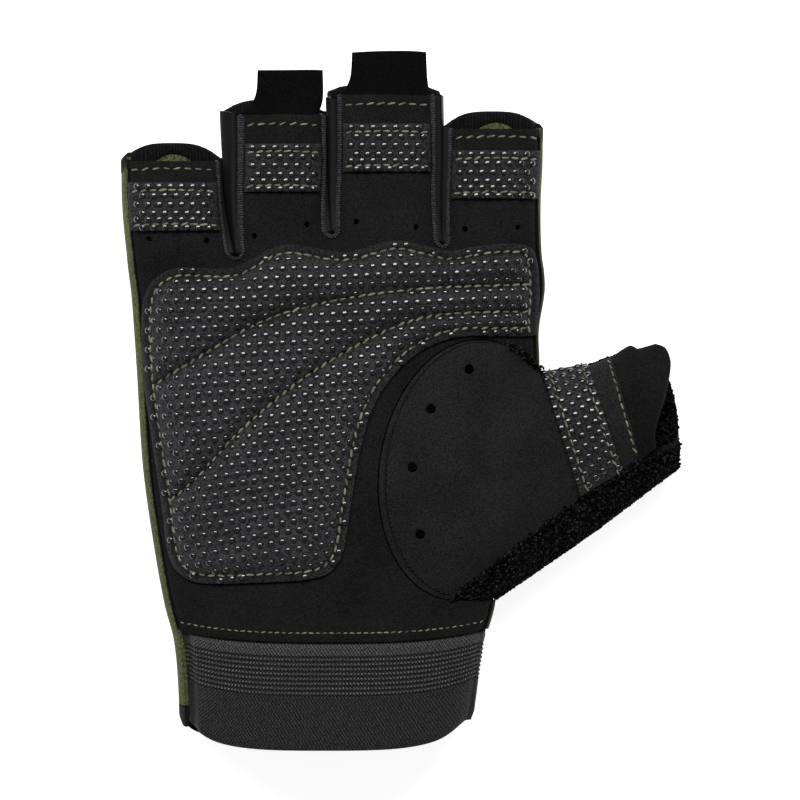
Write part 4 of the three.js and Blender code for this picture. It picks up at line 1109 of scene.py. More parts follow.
# A patch's stitched lines from its upper and its lower edge, and its rows of dots from its upper edge
PATCH_SEAMS = (1.9, 1.6)
PATCH_ROWS = (0.95, 3.2, 5.4, 7.6, 9.2, 11.2)
HEM_STITCHES = 1.9
TAB_STITCHES = 2.4


def finger_line(f, y, edge, count=24):
    left, right = finger_span(f, y, edge)
    across = np.linspace(-1, 1, count)
    return joined(mix(left, right, (across + 1) / 2), y - STITCH_BOW * across**2)


def patch_seams(low, high):
    """Where the two stitched lines of a finger's patch are."""
    return high - PATCH_SEAMS[0], low + PATCH_SEAMS[1]


def patch_tone_and_seam_shade(plan, low, high):
    """The patch's tone, with painted shade along its stitched lines."""
    away = np.min([np.abs(plan[:, 1] - seam) for seam in patch_seams(low, high)], 0)
    return np.clip(away, 0.15, 0.5)


def patch_lattice(outline, high):
    """The places of the dots on a finger's patch."""
    across = np.arange(outline[:, 0].min() - 1, outline[:, 0].max() + 1, DOT_PITCH)
    return np.concatenate([joined(across + (i % 2) * DOT_PITCH / 2, high - drop)
                           for i, drop in enumerate(PATCH_ROWS)])


def cloth_strip(name, f, low, high, spacing=0.6):
    """A grip patch on a finger: edges follow the finger's own sides."""
    y = np.linspace(low, high, 16)
    left, right = (np.array([(finger_span(f, v, 0.5)[end], v) for v in y]) for end in (0, 1))
    top = joined(np.linspace(left[-1, 0], right[-1, 0], 30), high)
    bottom = joined(np.linspace(right[0, 0], left[0, 0], 30), low)
    outline = np.concatenate([left, top[1:-1], right[::-1], bottom[1:-1]])
    return outline, plan_piece(name, outline, spacing, pad_height, GRIP_WALL, 0.0, roll_width=0.4,
                               shade=lambda plan: patch_tone_and_seam_shade(plan, low, high))


patch_face = lifted(pad_height, GRIP_WALL)
hem_lines = []
patch_lines = []
for f, finger in enumerate(FINGERS):
    setback = TAB_HEM_WIDTH if f in TABS else HEM_WIDTH
    high = hem_y(f) - setback
    low = high - PATCH_LENGTH
    outline, strip = cloth_strip(f"{finger}_grip_patch", f, low, high)
    finish_piece(strip, MAT.cloth, [f"grip_patch_{finger}"])
    places = patch_lattice(outline, high)
    dots(f"{finger}_patch_dots", places[inside(places, inset(outline, 0.7))], patch_face)
    patch_lines += [finger_line(f, seam, 0.6) for seam in patch_seams(low, high)]
    hem_lines.append(finger_line(f, hem_y(f) - (TAB_STITCHES if f in TABS else HEM_STITCHES), 0.5))
sew("patch_stitches", patch_lines, patch_face, 2.3, width=1.25)
sew("hem_stitches", hem_lines, palm_top, 2.5)


# Pull tabs of the fingers
TAB_ROOT_SHIFT = 0.8
MIDDLE_TAB_BOW = 0.35


def finger_tab(f):
    tab = TABS[f]
    start = hem_y(f) + 0.05
    share = np.linspace(0, 1, 26)[:, None]
    across = np.linspace(-1, 1, 40)[None]
    root = (1 - share) ** 5
    half = tab.width / 2 * (1 + tab.flare * root + 0.05 * (1 - share))
    left, right = (slot_at(k, hem_y(f))[0] for k in (f - 1, f))
    centre = (left + right) / 2 + tab.shift * (1 - root * TAB_ROOT_SHIFT)
    x = centre + half * across
    y = start + share * tab.length + MIDDLE_TAB_BOW * (f == 2) * (1 - across**2) * share
    z = palm_top(x, np.full_like(x, hem_y(f)))
    z = z + 0.25 * np.sin(share * 5 + across * 2) * share
    grid = joined(x, y, z)
    edge = np.minimum(1 - np.abs(across), 1 - share) * tab.width / 2
    soft = 0.35 * bell(edge, 0.5)
    return grid_wall(f"{FINGERS[f]}_pull_tab", grid, -soft, soft - TAB_WALL)


for f in TABS:
    finish_piece(finger_tab(f), MAT.tab, [f"pull_tab_{FINGERS[f]}"])


# Side strips and their overlocked edges
OVER = np.linspace(0, 1, 12)
DOWN = np.linspace(0, 1, 9)[1:]
HIDDEN = SUEDE + 1.3 * CLEARANCE
STRIP_GAP = 0.05
STRIP_FOOT = 1.7
STRIP_LAP = 0.5
# How much short of the back's edge a strip stops, for a slot and a side of it
STRIP_DROP = {(1, 1): 1.6, (2, -1): 0.9}


def slot_leg(k, f, side, depth, rise, steps=46):
    start = SLOT["crotch"][k] * PALM_LENGTH + rise
    end = hem_y(f) + depth * SIDE_OVERHANG - STRIP_DROP.get((k, side), 0.0)
    radius = mix(SLOT_WIDTH, BACK_SLOT_WIDTH, depth) / 2
    reach = np.concatenate([1.0 - np.cos(np.linspace(0, np.pi / 2, 10)), np.linspace(1, 2, steps)[1:]])
    length = end - start
    y = np.where(reach <= 1, start + radius * reach, start + radius + (reach - 1) * (length - radius))
    x, left, right = slot_at(k, y, depth)
    reach_x = mix(-left if side < 0 else right, side * STRIP_GAP, depth)
    return joined(x + reach_x * slot_opening(y, start, radius), y)


def side_strip(k):
    """One strip: from the palm's edge over and down to the back, along both sides of a slot."""
    legs = []
    for side, f in ((-1, k), (1, k + 1)):
        palm_edge = slot_leg(k, f, side, 0.0, 0.0)
        back_edge = slot_leg(k, f, side, 1.0, BACK_CROTCH_RISE)
        over = palm_edge[:, None] + (back_edge - palm_edge)[:, None] * OVER[None, :, None]
        away = np.linalg.norm(over - palm_edge[:, None], axis=-1)
        covered = 1 - smooth(away, CLEARANCE, 2 * HIDDEN)
        z = palm_top(over[..., 0], over[..., 1]) - HIDDEN * covered
        top = np.concatenate([over, z[..., None]], -1)
        low = back_under(*back_edge.T) + STRIP_FOOT + CLEARANCE + STRIP_LAP * (side > 0)
        down = np.repeat(back_edge[:, None], len(DOWN), 1)
        if side < 0:
            down[..., 0] += STRIP_LAP * DOWN**6
        down_z = mix(top[:, -1:, 2], low[:, None], DOWN[None])
        legs.append(np.concatenate([top, np.concatenate([down, down_z[..., None]], -1)], 1))
    grid = np.concatenate([legs[0][::-1], legs[1][1:]])
    return grid_wall(f"{FINGERS[k]}_{FINGERS[k + 1]}_side_strip", grid, 0.0, -1.0, flip=True)


def rib_tube(name, centre, normals, width, height, pitch, sides=10, depth=0.12):
    """A ribbed edge along a line: a flattened tube that swells at each turn of the thread."""
    reach = lengths_along(centre)
    ahead = unit(np.gradient(centre, axis=0))
    normals = unit(normals - ahead * np.sum(normals * ahead, 1, keepdims=True))
    across = np.cross(ahead, normals)
    angles = np.linspace(0, 2 * np.pi, sides, endpoint=False)
    swell = np.cos(2 * np.pi * reach / pitch)
    thick = 1 + depth * swell
    end = np.clip(np.minimum(reach, reach[-1] - reach) / 0.5, 0.05, 1) ** 0.5
    scale = (thick * end)[:, None, None]
    wide = np.reshape(width, (-1, 1, 1)) / 2
    ring = (across[:, None] * np.cos(angles)[None, :, None] * wide
            + normals[:, None] * np.sin(angles)[None, :, None] * height / 2)
    points = (centre[:, None] + ring * scale).reshape(-1, 3)
    ids = np.arange(len(points)).reshape(-1, sides)
    faces = [ring_faces(ids)[:, ::-1], fan(ids[0]), fan(ids[-1])[:, ::-1]]
    return mesh_object(name, points, faces, shade=np.repeat(0.5 + 0.5 * swell, sides), sharp=FINE_SHARP)


SEAM_TAPE = 1.5
SEAM_TAPE_DROP = 1.1
# The palm's edge, where the tape starts and ends along the hand, and how far it is set inwards
SEAM_TAPES = dict(
    pinky_side=(palm_left, 3.0, hem_y(0) - 1.2, 0.65),
    index_side=(palm_right, 68.5, hem_y(3) - 1.2, -0.7),
    wrist_side=(palm_right, 3.0, 9.6, -0.65),
)


def seam_tape(name, edge, low, high, inwards):
    """The turned seam under the palm's edge, where the back is sewn to it."""
    up = np.linspace(low, high, 160)
    line = even(joined(edge(up) + inwards, up), 160)
    points, normals = on_surface(line, palm_top)
    points[:, 2] -= SEAM_TAPE_DROP
    return rib_tube(name, points, normals, SEAM_TAPE, SEAM_TAPE * 0.9, 3.0, depth=0.02)


for name, tape in SEAM_TAPES.items():
    finish_piece(seam_tape(f"{name}_seam", *tape), MAT.tab)

# The width of each slot's overlocked edge, at its start and at its end
OVERLOCK_WIDTHS = [(0.9, 1.75), (1.25, 1.25), (1.3, 1.05)]
OVERLOCK_STEP = 0.14
OVERLOCK_HEIGHT = 0.9
OVERLOCK_PITCH = 0.58
for k in range(3):
    name = f"{FINGERS[k]}_{FINGERS[k + 1]}"
    finish_piece(side_strip(k), MAT.satin, [f"side_strip_{name}"])
    loop = slot_loop(k, steps=60)
    dense = even(loop, int(lengths_along(loop)[-1] / OVERLOCK_STEP))
    ahead = unit(np.gradient(dense, axis=0))
    into = joined(-ahead[:, 1], ahead[:, 0])
    width = mix(*OVERLOCK_WIDTHS[k], smooth(np.linspace(0, 1, len(dense)), 0.46, 0.54))
    dense = dense + into * width[:, None] * 0.42
    points, normals = on_surface(dense, palm_top)
    points[:, 2] -= 0.25
    edge = rib_tube(f"{name}_overlock", points, normals, width, OVERLOCK_HEIGHT, OVERLOCK_PITCH)
    finish_piece(edge, MAT.overlock)


# Back panel and the bindings of the finger openings
SEAM_TURN = -0.2
SIDE_TURN = 0.92
SIDE_STEPS = 16
FLAT_STEPS = 12
MIDDLE_RISE = 0.5
HEM_CORNER = 2.6
CORNER_TURN = 0.5
DARK_SIDE_END = (104.0, 110.0)
UNDER_BINDING = 1.1


def overhang(f, x):
    """How far a finger's back goes past the palm's hem: furthest in the middle."""
    hem = hem_y(f)
    _, left, right = fingers_at(np.array(sum(finger_span(f, hem)) / 2), np.array(hem))
    w = np.clip(np.abs(x - (left + right) / 2) / ((right - left) / 2), 0, 1)
    rise = BACK_OVERHANG * FINGER["overhang"][f] + MIDDLE_RISE * (f == 2)
    return mix(rise, SIDE_OVERHANG, w ** (3 + 2 * (f == 2)))


def row_place(share, f, t, rise):
    bend = smooth(share, 0.72, 1)
    return share * PALM_LENGTH + (crotch_line(f, t) + rise - PALM_LENGTH) * bend


def flat_x(side, y):
    return side_point(side, y, -1.0)[0]


def corner_rise(turn, y):
    """How far the back's corner is rounded off where it turns up round the wrist's side."""
    low = BACK_TAIL + WRIST_BINDING_WIDTH
    return HEM_CORNER * bell(turn, CORNER_TURN) * np.clip(-y / low, 0, 1) ** 6


def back_edges(f, y, opening=0.0):
    """Where one finger's share of the back starts and ends across the hand."""
    return (flat_x(-1, y) if f == 0 else slot_at(f - 1, y)[0] + opening,
            flat_x(1, y) if f == 3 else slot_at(f, y)[0] - opening)


def back_row(share, end_turn):
    """One row of the back across the whole hand, from the palm's seam to the thumb side."""
    columns = np.linspace(0, 1, FLAT_STEPS)
    flat = []
    for f in range(4):
        t = columns if f == 0 else columns[1:]
        y = row_place(share, f, t, BACK_CROTCH_RISE)
        x = mix(*back_edges(f, y), t)
        flat.append(joined(x, y, back_under(x, y)))
    flat = np.concatenate(flat)
    sides = []
    for side, stop in ((-1, SIDE_TURN), (1, end_turn)):
        y = flat[0 if side < 0 else -1, 1]
        turn = np.linspace(-1, stop, SIDE_STEPS)[1:]
        ys = y + corner_rise(turn, y)
        x, z = side_point(side, ys, turn)
        sides.append(joined(x, ys, z))
    return np.concatenate([sides[0][::-1], flat, sides[1]])


def finger_back(f, reach, shares):
    """Rows of one finger's back. reach(f, x) is how far it goes past the palm's hem."""
    columns = np.linspace(0, 1, FLAT_STEPS)
    hem = hem_y(f)
    start = crotch_line(f, columns) + BACK_CROTCH_RISE
    end = hem + reach(f, mix(*back_edges(f, hem, BACK_SLOT_WIDTH / 2), columns))
    rows = []
    for share in shares:
        y = mix(start, end, share)
        rise = share * (hem - start)
        opening = np.clip(rise / 0.4, 0, 1) ** 0.5 * BACK_SLOT_WIDTH / 2
        x = mix(*back_edges(f, y, opening), columns)
        row = joined(x, y, back_under(x, y))
        side = {0: -1, 3: 1}.get(f)
        if side:
            turn = np.linspace(-1, SIDE_TURN, SIDE_STEPS)[1:]
            ends = hem + reach(f, side_point(side, np.full(len(turn), hem), turn)[0])
            y_side = mix(crotch_line(f, 0 if side < 0 else 1) + BACK_CROTCH_RISE, ends, share)
            x, z = side_point(side, y_side, turn)
            up = joined(x, y_side, z)
            row = np.concatenate([up[::-1], row] if side < 0 else [row, up])
        rows.append(row)
    return np.stack(rows)


def back_shell():
    low_share = -BACK_TAIL / PALM_LENGTH
    marks = [(low_share, SEAM_TURN)]
    for y, before, after in ((WRIST_SAG, SEAM_TURN, SIDE_TURN), (THUMB_HOLE_LOW, SIDE_TURN, SEAM_TURN),
                             (THUMB_HOLE_HIGH, SEAM_TURN, SIDE_TURN)):
        marks += [(y / PALM_LENGTH, before), (y / PALM_LENGTH + 0.001, after)]
    marks.append((1.0, SIDE_TURN))
    rows = []
    for (a, turn_a), (b, _) in zip(marks, marks[1:]):
        count = max(int((b - a) * PALM_LENGTH / 1.6), 1)
        rows += [back_row(mix(a, b, i / count), turn_a) for i in range(count)]
    rows.append(back_row(1.0, SIDE_TURN))
    body = np.stack(rows)
    points = [body.reshape(-1, 3)]
    faces = [grid_faces(*body.shape[:2])]
    uvs = [body[..., :2].reshape(-1, 2)]
    base = body.shape[0] * body.shape[1]
    last_row = np.arange(base - body.shape[1], base)
    for f in range(4):
        rows = finger_back(f, lambda g, x: overhang(g, x) - UNDER_BINDING, np.linspace(0, 1, 22))
        columns = rows.shape[1]
        quads = grid_faces(*rows.shape[:2]) + base
        start = SIDE_STEPS - 1 + f * (FLAT_STEPS - 1) if f else 0
        shared = last_row[start:start + columns]
        quads = np.where(quads < base + columns, shared[np.clip(quads - base, 0, columns - 1)], quads)
        points.append(rows.reshape(-1, 3))
        faces.append(quads)
        uvs.append(rows[..., :2].reshape(-1, 2))
        base += rows.shape[0] * columns
    points = np.concatenate(points)
    faces = np.concatenate(faces)[:, ::-1]
    points[:, 2] += 0.12 * noise(points, 9, 5) * smooth(points[:, 2], 2, 6)
    shell, sets = wall(points, faces, 0.0, -STRETCH_FABRIC)
    thumb_side = smooth(points[:, 0], flat_x(1, points[:, 1]) + 1, flat_x(1, points[:, 1]) + 4)
    shade = 1 - thumb_side * (1 - smooth(points[:, 1], *DARK_SIDE_END))
    return mesh_object("back_panel_olive", shell, sets, uv=np.concatenate(uvs), shade=shade)


finish_piece(back_shell(), MAT.olive, ["back_panel"])

# The folded tape's section: how far in from the edge, and how far out from the back's face
BINDING_PROFILE = [(4.0, 0.0), (3.0, 0.02), (1.6, 0.05), (0.5, 0.03), (0.0, -0.35), (-0.12, -0.85),
                   (0.0, -1.35), (0.5, -1.66), (1.4, -1.7), (2.5, -1.66), (2.65, -1.45), (2.5, -1.3)]
LENS_SHARE = 0.5
KNIT_PITCH = 0.8


def binding(f):
    """A knit tape folded over the edge of a finger's back."""
    tape = []
    for share in (0.0, 1.0):
        row = finger_back(f, lambda g, x: overhang(g, x) - (1 - share) * BINDING_WIDTH, [1.0])[0]
        count = int(lengths_along(row)[-1] / 0.2)
        tape.append(even(row, count if not tape else len(tape[0])))
    low, edge = tape
    along = (edge - low) / BINDING_WIDTH
    normal = unit(np.cross(along, np.gradient(edge, axis=0)))
    reach = lengths_along(edge)
    swell = np.cos(2 * np.pi * reach / KNIT_PITCH)[:, None]
    span = finger_span(f, hem_y(f))
    place = (2 * edge[:, :1] - sum(span)) / (span[1] - span[0])
    band = 1 + np.minimum(0.9 * (place / LENS_SHARE) ** 2, 1.0)
    rows = []
    for s, n in BINDING_PROFILE:
        reach_in = s * (band if n < -1 and s > 1 else 1)
        rows.append(edge - along * reach_in + normal * (n + 0.06 * swell * (1 if n > -0.6 else -1)))
    ids = np.arange(len(rows) * len(edge)).reshape(len(rows), -1).T
    faces = [ring_faces(ids)[:, ::-1], fan(ids[0]), fan(ids[-1])[:, ::-1]]
    shade = np.tile((0.5 + 0.5 * swell)[:, 0], len(rows))
    return mesh_object(f"{FINGERS[f]}_opening_binding", np.concatenate(rows), faces,
                       shade=shade, sharp=FINE_SHARP)


for f, finger in enumerate(FINGERS):
    finish_piece(binding(f), MAT.binding, [f"opening_binding_{finger}"])


# Cuff, wrist binding and strap
# The ribbed band of the cuff, by how far it is below the wrist's seam, and its ribs both ways
RIBS = SimpleNamespace(start=3.2, stop=13.6, fade=0.6, row=1.2, column=0.9)


def cuff():
    below = np.concatenate([np.linspace(-CUFF_LENGTH, -14.4, 20), np.linspace(-14.2, -2.6, 47),
                            np.linspace(-2.3, CUFF_TUCK, 12)])
    across = np.linspace(0, 1, 330)
    side_turns = np.linspace(0.05, SIDE_TURN, 10)
    under_turns = np.linspace(-0.02, -0.65, 12)
    turns = np.concatenate([side_turns, np.full(len(across), 2.0), side_turns[::-1], under_turns])
    sides = np.where(turns < 2, 1, 0)
    sides[:len(side_turns)] = -1
    rows = []
    for y in below:
        face_x = mix(palm_left(y), palm_right(y), across)
        xs = np.concatenate([side_point(-1, y, side_turns)[0], face_x,
                             side_point(1, y, side_turns[::-1])[0], side_point(1, y, under_turns)[0]])
        from_edge = np.minimum(xs - palm_left(y), palm_right(y) - xs)
        rise = np.where(sides == 0, bell(from_edge, 4.5), 1 + bell(turns, CORNER_TURN)) / 2
        ys = y + sweep(y, xs) + HEM_CORNER * rise * np.clip(-y / CUFF_LENGTH, 0, 1) ** 6
        turn = np.minimum(turns, SIDE_TURN)
        edge_x, edge_z = np.where(sides < 0, side_point(-1, ys, turn), side_point(1, ys, turn))
        x, z = np.where(sides == 0, (xs, palm_top(xs, y)), (edge_x, edge_z))
        rows.append(joined(x, ys, z))
    grid = np.stack(rows)
    down = np.repeat(-below[:, None], grid.shape[1], 1)
    hand = hand_at(grid[..., 1])
    past = sweep(np.zeros(grid.shape[:2]), grid[..., 0]) - grid[..., 1]
    low, high = mix(hand.floor, hand.middle, 0.75), mix(hand.middle, hand.top, 0.15)
    out = (smooth(past, 0.1, 1.2) * smooth(grid[..., 2], low, high)
           * smooth(grid[..., 0], hand.left + 1.4 * SEAM_INSET, hand.left + 3 * SEAM_INSET))
    outer = -mix(SUEDE + CLEARANCE, 0.25, out)
    along_row = grid_uv(grid)[:, 0].reshape(grid.shape[:2])
    ribbed = (smooth(down, RIBS.start, RIBS.start + RIBS.fade)
              * (1 - smooth(down, RIBS.stop, RIBS.stop + RIBS.fade)))
    row_wave = np.cos(2 * np.pi * (down - RIBS.start) / RIBS.row)
    column_wave = np.cos(2 * np.pi * along_row / RIBS.column)
    block = 0.5 + 0.5 * column_wave
    relief = ribbed * (0.2 * row_wave + 0.1 * column_wave)
    wales = (1 - ribbed) * 0.03 * column_wave
    hem = bell(grid[..., 1] - grid[0, :, 1], 0.8)
    bars = (0.35 + 0.65 * block) * (0.5 + 0.5 * row_wave)
    plain = np.where(down < 8, 0.44, 0.2)
    shade = np.where(ribbed > 0.5, 0.02 + 1.1 * bars**1.6, plain + 0.04 * column_wave)
    outer = outer + relief + wales - 0.35 * hem
    inner = 0.3 * hem - SUEDE - CLEARANCE - ELASTIC
    return grid_wall("elastic_cuff", grid, outer, inner, shade=shade, sharp=70)


finish_piece(cuff(), MAT.elastic, ["cuff"])
WRIST_STITCHES = 2.2
wrist_x = np.linspace(palm_left(WRIST_STITCHES) + 0.1, palm_right(WRIST_STITCHES) - 0.1, 200)
wrist_line = joined(wrist_x, WRIST_STITCHES + sweep(0.0, wrist_x))
sew("wrist_stitches", [wrist_line], palm_top, 1.7, slant=4, length=0.62, width=0.75,
    material=MAT.faint_thread)


def wrist_binding():
    """A tape that follows on from the back's lower edge, as far as the thumb side's seam."""
    up = np.linspace(0, 1, 16)
    low = -BACK_TAIL - CLEARANCE - WRIST_BINDING_WIDTH
    grid = np.stack([back_row(y / PALM_LENGTH, SEAM_TURN) for y in low + WRIST_BINDING_WIDTH * up])
    ribs = np.cos(2 * np.pi * lengths_along(grid))
    soft = np.broadcast_to(0.3 * bell(up[:, None], 0.12), ribs.shape)
    return grid_wall("wrist_binding_tape", grid, 0.04 * ribs - soft, soft - STRETCH_FABRIC, flip=True,
                     shade=0.5 + 0.3 * ribs)


finish_piece(wrist_binding(), MAT.binding, ["wrist_binding"])


def strap():
    tip = hand_at(STRAP_CENTRE_Y).left - STRAP_PEEK
    half, r = STRAP_WIDTH / 2, STRAP_TIP_RADIUS
    angles = np.linspace(np.pi / 2, np.pi, 10)
    upper = joined(tip + r + r * np.cos(angles), STRAP_CENTRE_Y + half - r + r * np.sin(angles))
    lower = upper[::-1] * [1, -1] + [0, 2 * STRAP_CENTRE_Y]
    cut_end = [(tip + STRAP_LENGTH, STRAP_CENTRE_Y + y) for y in (-half, half)]
    outline = even(np.concatenate([cut_end, upper, lower]), 190, closed=True)
    return plan_piece("closure_strap_tape", outline, 1.6, lambda x, y: STRAP_WALL, 0.0, -STRAP_WALL,
                      roll_width=0.5)


finish_piece(strap(), MAT.tape, ["closure_strap"])

# Thumb
CROTCH = np.array([hand_at(THUMB_HOLE_HIGH).right + 2 * CLEARANCE, THUMB_HOLE_HIGH - CLEARANCE])
HOLE_FOOT = np.array([hand_at(THUMB_HOLE_LOW).right + 3 * CLEARANCE, THUMB_HOLE_LOW - CLEARANCE])


def line_point(start, line, share):
    angle = math.radians(line.degrees)
    return start + line.length * share[..., None] * np.array([math.cos(angle), math.sin(angle)])


def thumb_point(at, turn):
    """A point on the thumb at a station along it: turn 0 inner edge, 1 outer edge, 2 back below."""
    at, turn = np.broadcast_arrays(np.asarray(at, float), np.asarray(turn, float))
    columns = ("inner", "outer", "height", "lift", "flare", "bow")
    value = {name: read(THUMB, at, name) for name in columns}
    inner = line_point(CROTCH, THUMB_INNER, value["inner"])
    inner[..., 1] += THUMB_HEIGHT * value["flare"]
    outer = line_point(HOLE_FOOT, THUMB_OUTER, value["outer"])
    floor = THUMB_HEIGHT * value["lift"]
    top = floor + THUMB_HEIGHT * value["height"]
    middle = mix(floor, top, MIDDLE_SHARE)
    angle = np.pi * turn
    power = np.where(turn <= 1, THUMB_SHAPE.top, THUMB_SHAPE.under)
    across = (1 - np.sign(np.cos(angle)) * np.abs(np.cos(angle)) ** (2 / power)) / 2
    rise = np.abs(np.sin(angle)) ** (2 / power)
    bow = value["bow"] * np.sin(np.pi * across)
    out = joined(inner[..., 1] - outer[..., 1], outer[..., 0] - inner[..., 0]) * bow[..., None]
    plan = mix(inner, outer, across[..., None]) + out
    z = mix(middle, np.where(turn <= 1, top, floor), rise)
    return np.concatenate([plan, z[..., None]], -1)


TERRY_TURN = math.acos(-((2 * TERRY_SHARE - 1) ** (THUMB_SHAPE.top / 2))) / math.pi
EDGE_TURN = 0.008
HEM_STATION = 2.0


def panel_turn(share):
    return mix(EDGE_TURN, TERRY_TURN - EDGE_TURN, share)


def panel_points(r, share):
    """The suede over the ball of the thumb: r 0 at its seam, 1 at the first station, then stations."""
    r, share = np.broadcast_arrays(np.asarray(r, float), np.asarray(share, float))
    seam = thumb_seam(share)
    x = np.minimum(seam[..., 0], hand_at(seam[..., 1]).right + CLEARANCE)
    base = joined(x, seam[..., 1], palm_top(x, seam[..., 1]))
    part = np.clip(r, 0, 1)
    dome_height = THUMB_DOME * 6.75 * part * (1 - part) ** 2 * np.sin(np.pi * share)
    far = thumb_point(np.maximum(r - 1, 0), panel_turn(share))
    points = mix(base, far, part[..., None])
    points[..., 2] += dome_height
    return points


def thumb_panel():
    r = np.concatenate([np.linspace(0, 1, 44)[:-1], np.linspace(1, 1 + HEM_STATION, 26)])
    grid = panel_points(r[:, None], np.linspace(0, 1, 84)[None])
    grid[..., 2] += creases(grid) * smooth(r, 0.05, 0.3)[:, None]
    return grid_wall("thumb_suede", grid, 0.0, -SUEDE)


DRILL_SIDES = 16
DRILL_REACH = 6


def drill(obj, places, radius, heights):
    """Round vents through a piece, in one cut."""
    rings, faces = [], []
    for i, ((x, y), z) in enumerate(zip(places, heights)):
        loop = circle(x, y, radius, DRILL_SIDES)
        rings += [joined(*loop.T, z - DRILL_REACH), joined(*loop.T, z + DRILL_REACH)]
        ids = np.arange(2 * i * DRILL_SIDES, 2 * (i + 1) * DRILL_SIDES).reshape(2, -1)
        faces += [ring_faces(ids), fan(ids[0])[:, ::-1], fan(ids[1])]
    cutter = mesh_object("cutter", np.concatenate(rings), faces)
    cut = obj.modifiers.new("cut", "BOOLEAN")
    cut.operation = "DIFFERENCE"
    cut.solver = "EXACT"
    cut.object = cutter
    cut_obj = obj.evaluated_get(bpy.context.evaluated_depsgraph_get())
    mesh = bpy.data.meshes.new_from_object(cut_obj)
    obj.modifiers.clear()
    obj.data = mesh
    bpy.data.objects.remove(cutter)
    return obj


THUMB_VENTS = [(33.5, 67.8), (24.0, 58.0), (19.4, 43.4), (21.3, 26.8)]
panel = drill(thumb_panel(), THUMB_VENTS, THUMB_VENT_RADIUS, [palm_top(x, y) for x, y in THUMB_VENTS])
finish_piece(panel, MAT.thumb, ["thumb_panel"])


def thumb_frame(at, turn, lift):
    """Points on the thumb's face with normals, and headings round it."""
    step = 0.01
    points = thumb_point(at, turn)
    along = thumb_point(at + step, turn) - thumb_point(at - step, turn)
    around = thumb_point(at, turn + step) - thumb_point(at, turn - step)
    normals = unit(np.cross(around, along))
    return points + normals * lift, normals, unit(around)


PATCH_FACE = CLEARANCE + GRIP_WALL
THUMB_PATCH_STITCHES = (0.16, 0.86)
THUMB_PATCH_ENDS = (0.01, 1.0)
THUMB_PATCH_TURNS = (0.06, TERRY_TURN - 0.02)


def from_ends(place, ends):
    """How far a place is from the nearer of two ends."""
    return np.minimum(place - ends[0], ends[1] - place)


def thumb_patch():
    at = np.linspace(*THUMB_PATCH_ENDS, 26)[:, None]
    turn = np.linspace(*THUMB_PATCH_TURNS, 60)[None]
    grid = thumb_point(at, turn)
    edge = np.minimum(from_ends(at, THUMB_PATCH_ENDS) * 12, from_ends(turn, THUMB_PATCH_TURNS) * 30)
    soft = 0.35 * bell(edge, 0.45)
    # Painted shade darkens the cloth along its stitched lines.
    seams = np.min([np.abs(at - seam) for seam in THUMB_PATCH_STITCHES], 0)
    shade = np.clip(seams / 0.07, 0.15, 0.52) + 0 * turn
    return grid_wall("thumb_grip_patch", grid, PATCH_FACE - soft, CLEARANCE, shade=shade)


finish_piece(thumb_patch(), MAT.cloth, ["grip_patch_thumb"])


def round_thumb(at, turns, start, stop, pitch):
    """Places a pitch apart round the thumb, from start to stop short of the end, in millimetres."""
    fine = np.linspace(*turns, 400)
    reach = lengths_along(thumb_point(at, fine))
    return [(at, np.interp(s, reach, fine)) for s in np.arange(start, reach[-1] - stop, pitch)]


THUMB_STITCHES = 2.3
THUMB_DOTS = 2.7
THUMB_DOT_TURNS = (0.075, TERRY_TURN - 0.035)
THUMB_DOT_ROWS = 0.175


def thumb_dots():
    places = []
    for i, at in enumerate(np.arange(0.05, 1.0, THUMB_DOT_ROWS)):
        if min(abs(at - s) for s in THUMB_PATCH_STITCHES) > 0.035:
            places += round_thumb(at, THUMB_DOT_TURNS, 1.0 + (i % 2) * THUMB_DOTS / 2, 0.6, THUMB_DOTS)
    points, normals, headings = thumb_frame(*np.array(places).T, PATCH_FACE)
    shape, faces = dome(DOT_RADIUS)
    return scatter("thumb_patch_dots", shape, faces, points, normals, headings)


finish_piece(thumb_dots(), MAT.gel)


def thumb_rows(name, stations, lift, turns):
    """Stitches round the thumb at some stations."""
    found = [place for at in stations for place in round_thumb(at, turns, 0.8, 0.4, THUMB_STITCHES)]
    return stitches_at(name, *thumb_frame(*np.array(found).T, lift))


thumb_rows("thumb_patch_stitches", THUMB_PATCH_STITCHES, PATCH_FACE, (0.07, TERRY_TURN - 0.02))
thumb_rows("thumb_hem_stitches", [1.86], 0.0, (0.1, TERRY_TURN - 0.02))

TAB_TOP = [(73.6, 73.8), (75.6, 73.1), (80.2, 74.3)]
TAB_END = [(80.2, 74.3), (82.3, 73.5), (83.4, 71.8), (83.7, 69.3), (83.0, 64.8), (81.6, 59.6),
           (80.2, 55.6), (79.3, 51.7), (79.6, 47.8)]
TAB_CURL = 1.5


def thumb_tab():
    """The suede past the thumb's hem, filled in between its four edges."""
    share = np.linspace(0, 1, 72)
    t = np.linspace(0, 1, 38)
    hem = panel_points(1 + HEM_STATION, share)
    start = hem[:, :2] + 0.05
    end = smooth_curve(TAB_END, len(share))
    top = smooth_curve([start[0], *TAB_TOP], len(t))
    foot = mix(start[-1], end[-1], t[:, None])
    s, t = share[None, :, None], t[:, None, None]
    corners = mix(mix(start[0], start[-1], s), mix(end[0], end[-1], s), t)
    plan = mix(start[None], end[None], t) + mix(top[:, None], foot[:, None], s) - corners
    z = hem[:, 2] + TAB_CURL * t[..., 0] ** 2
    return grid_wall("thumb_pull_tab", np.concatenate([plan, z[..., None]], -1), 0.0, -SUEDE)


finish_piece(thumb_tab(), MAT.thumb_tab, ["pull_tab_thumb"])


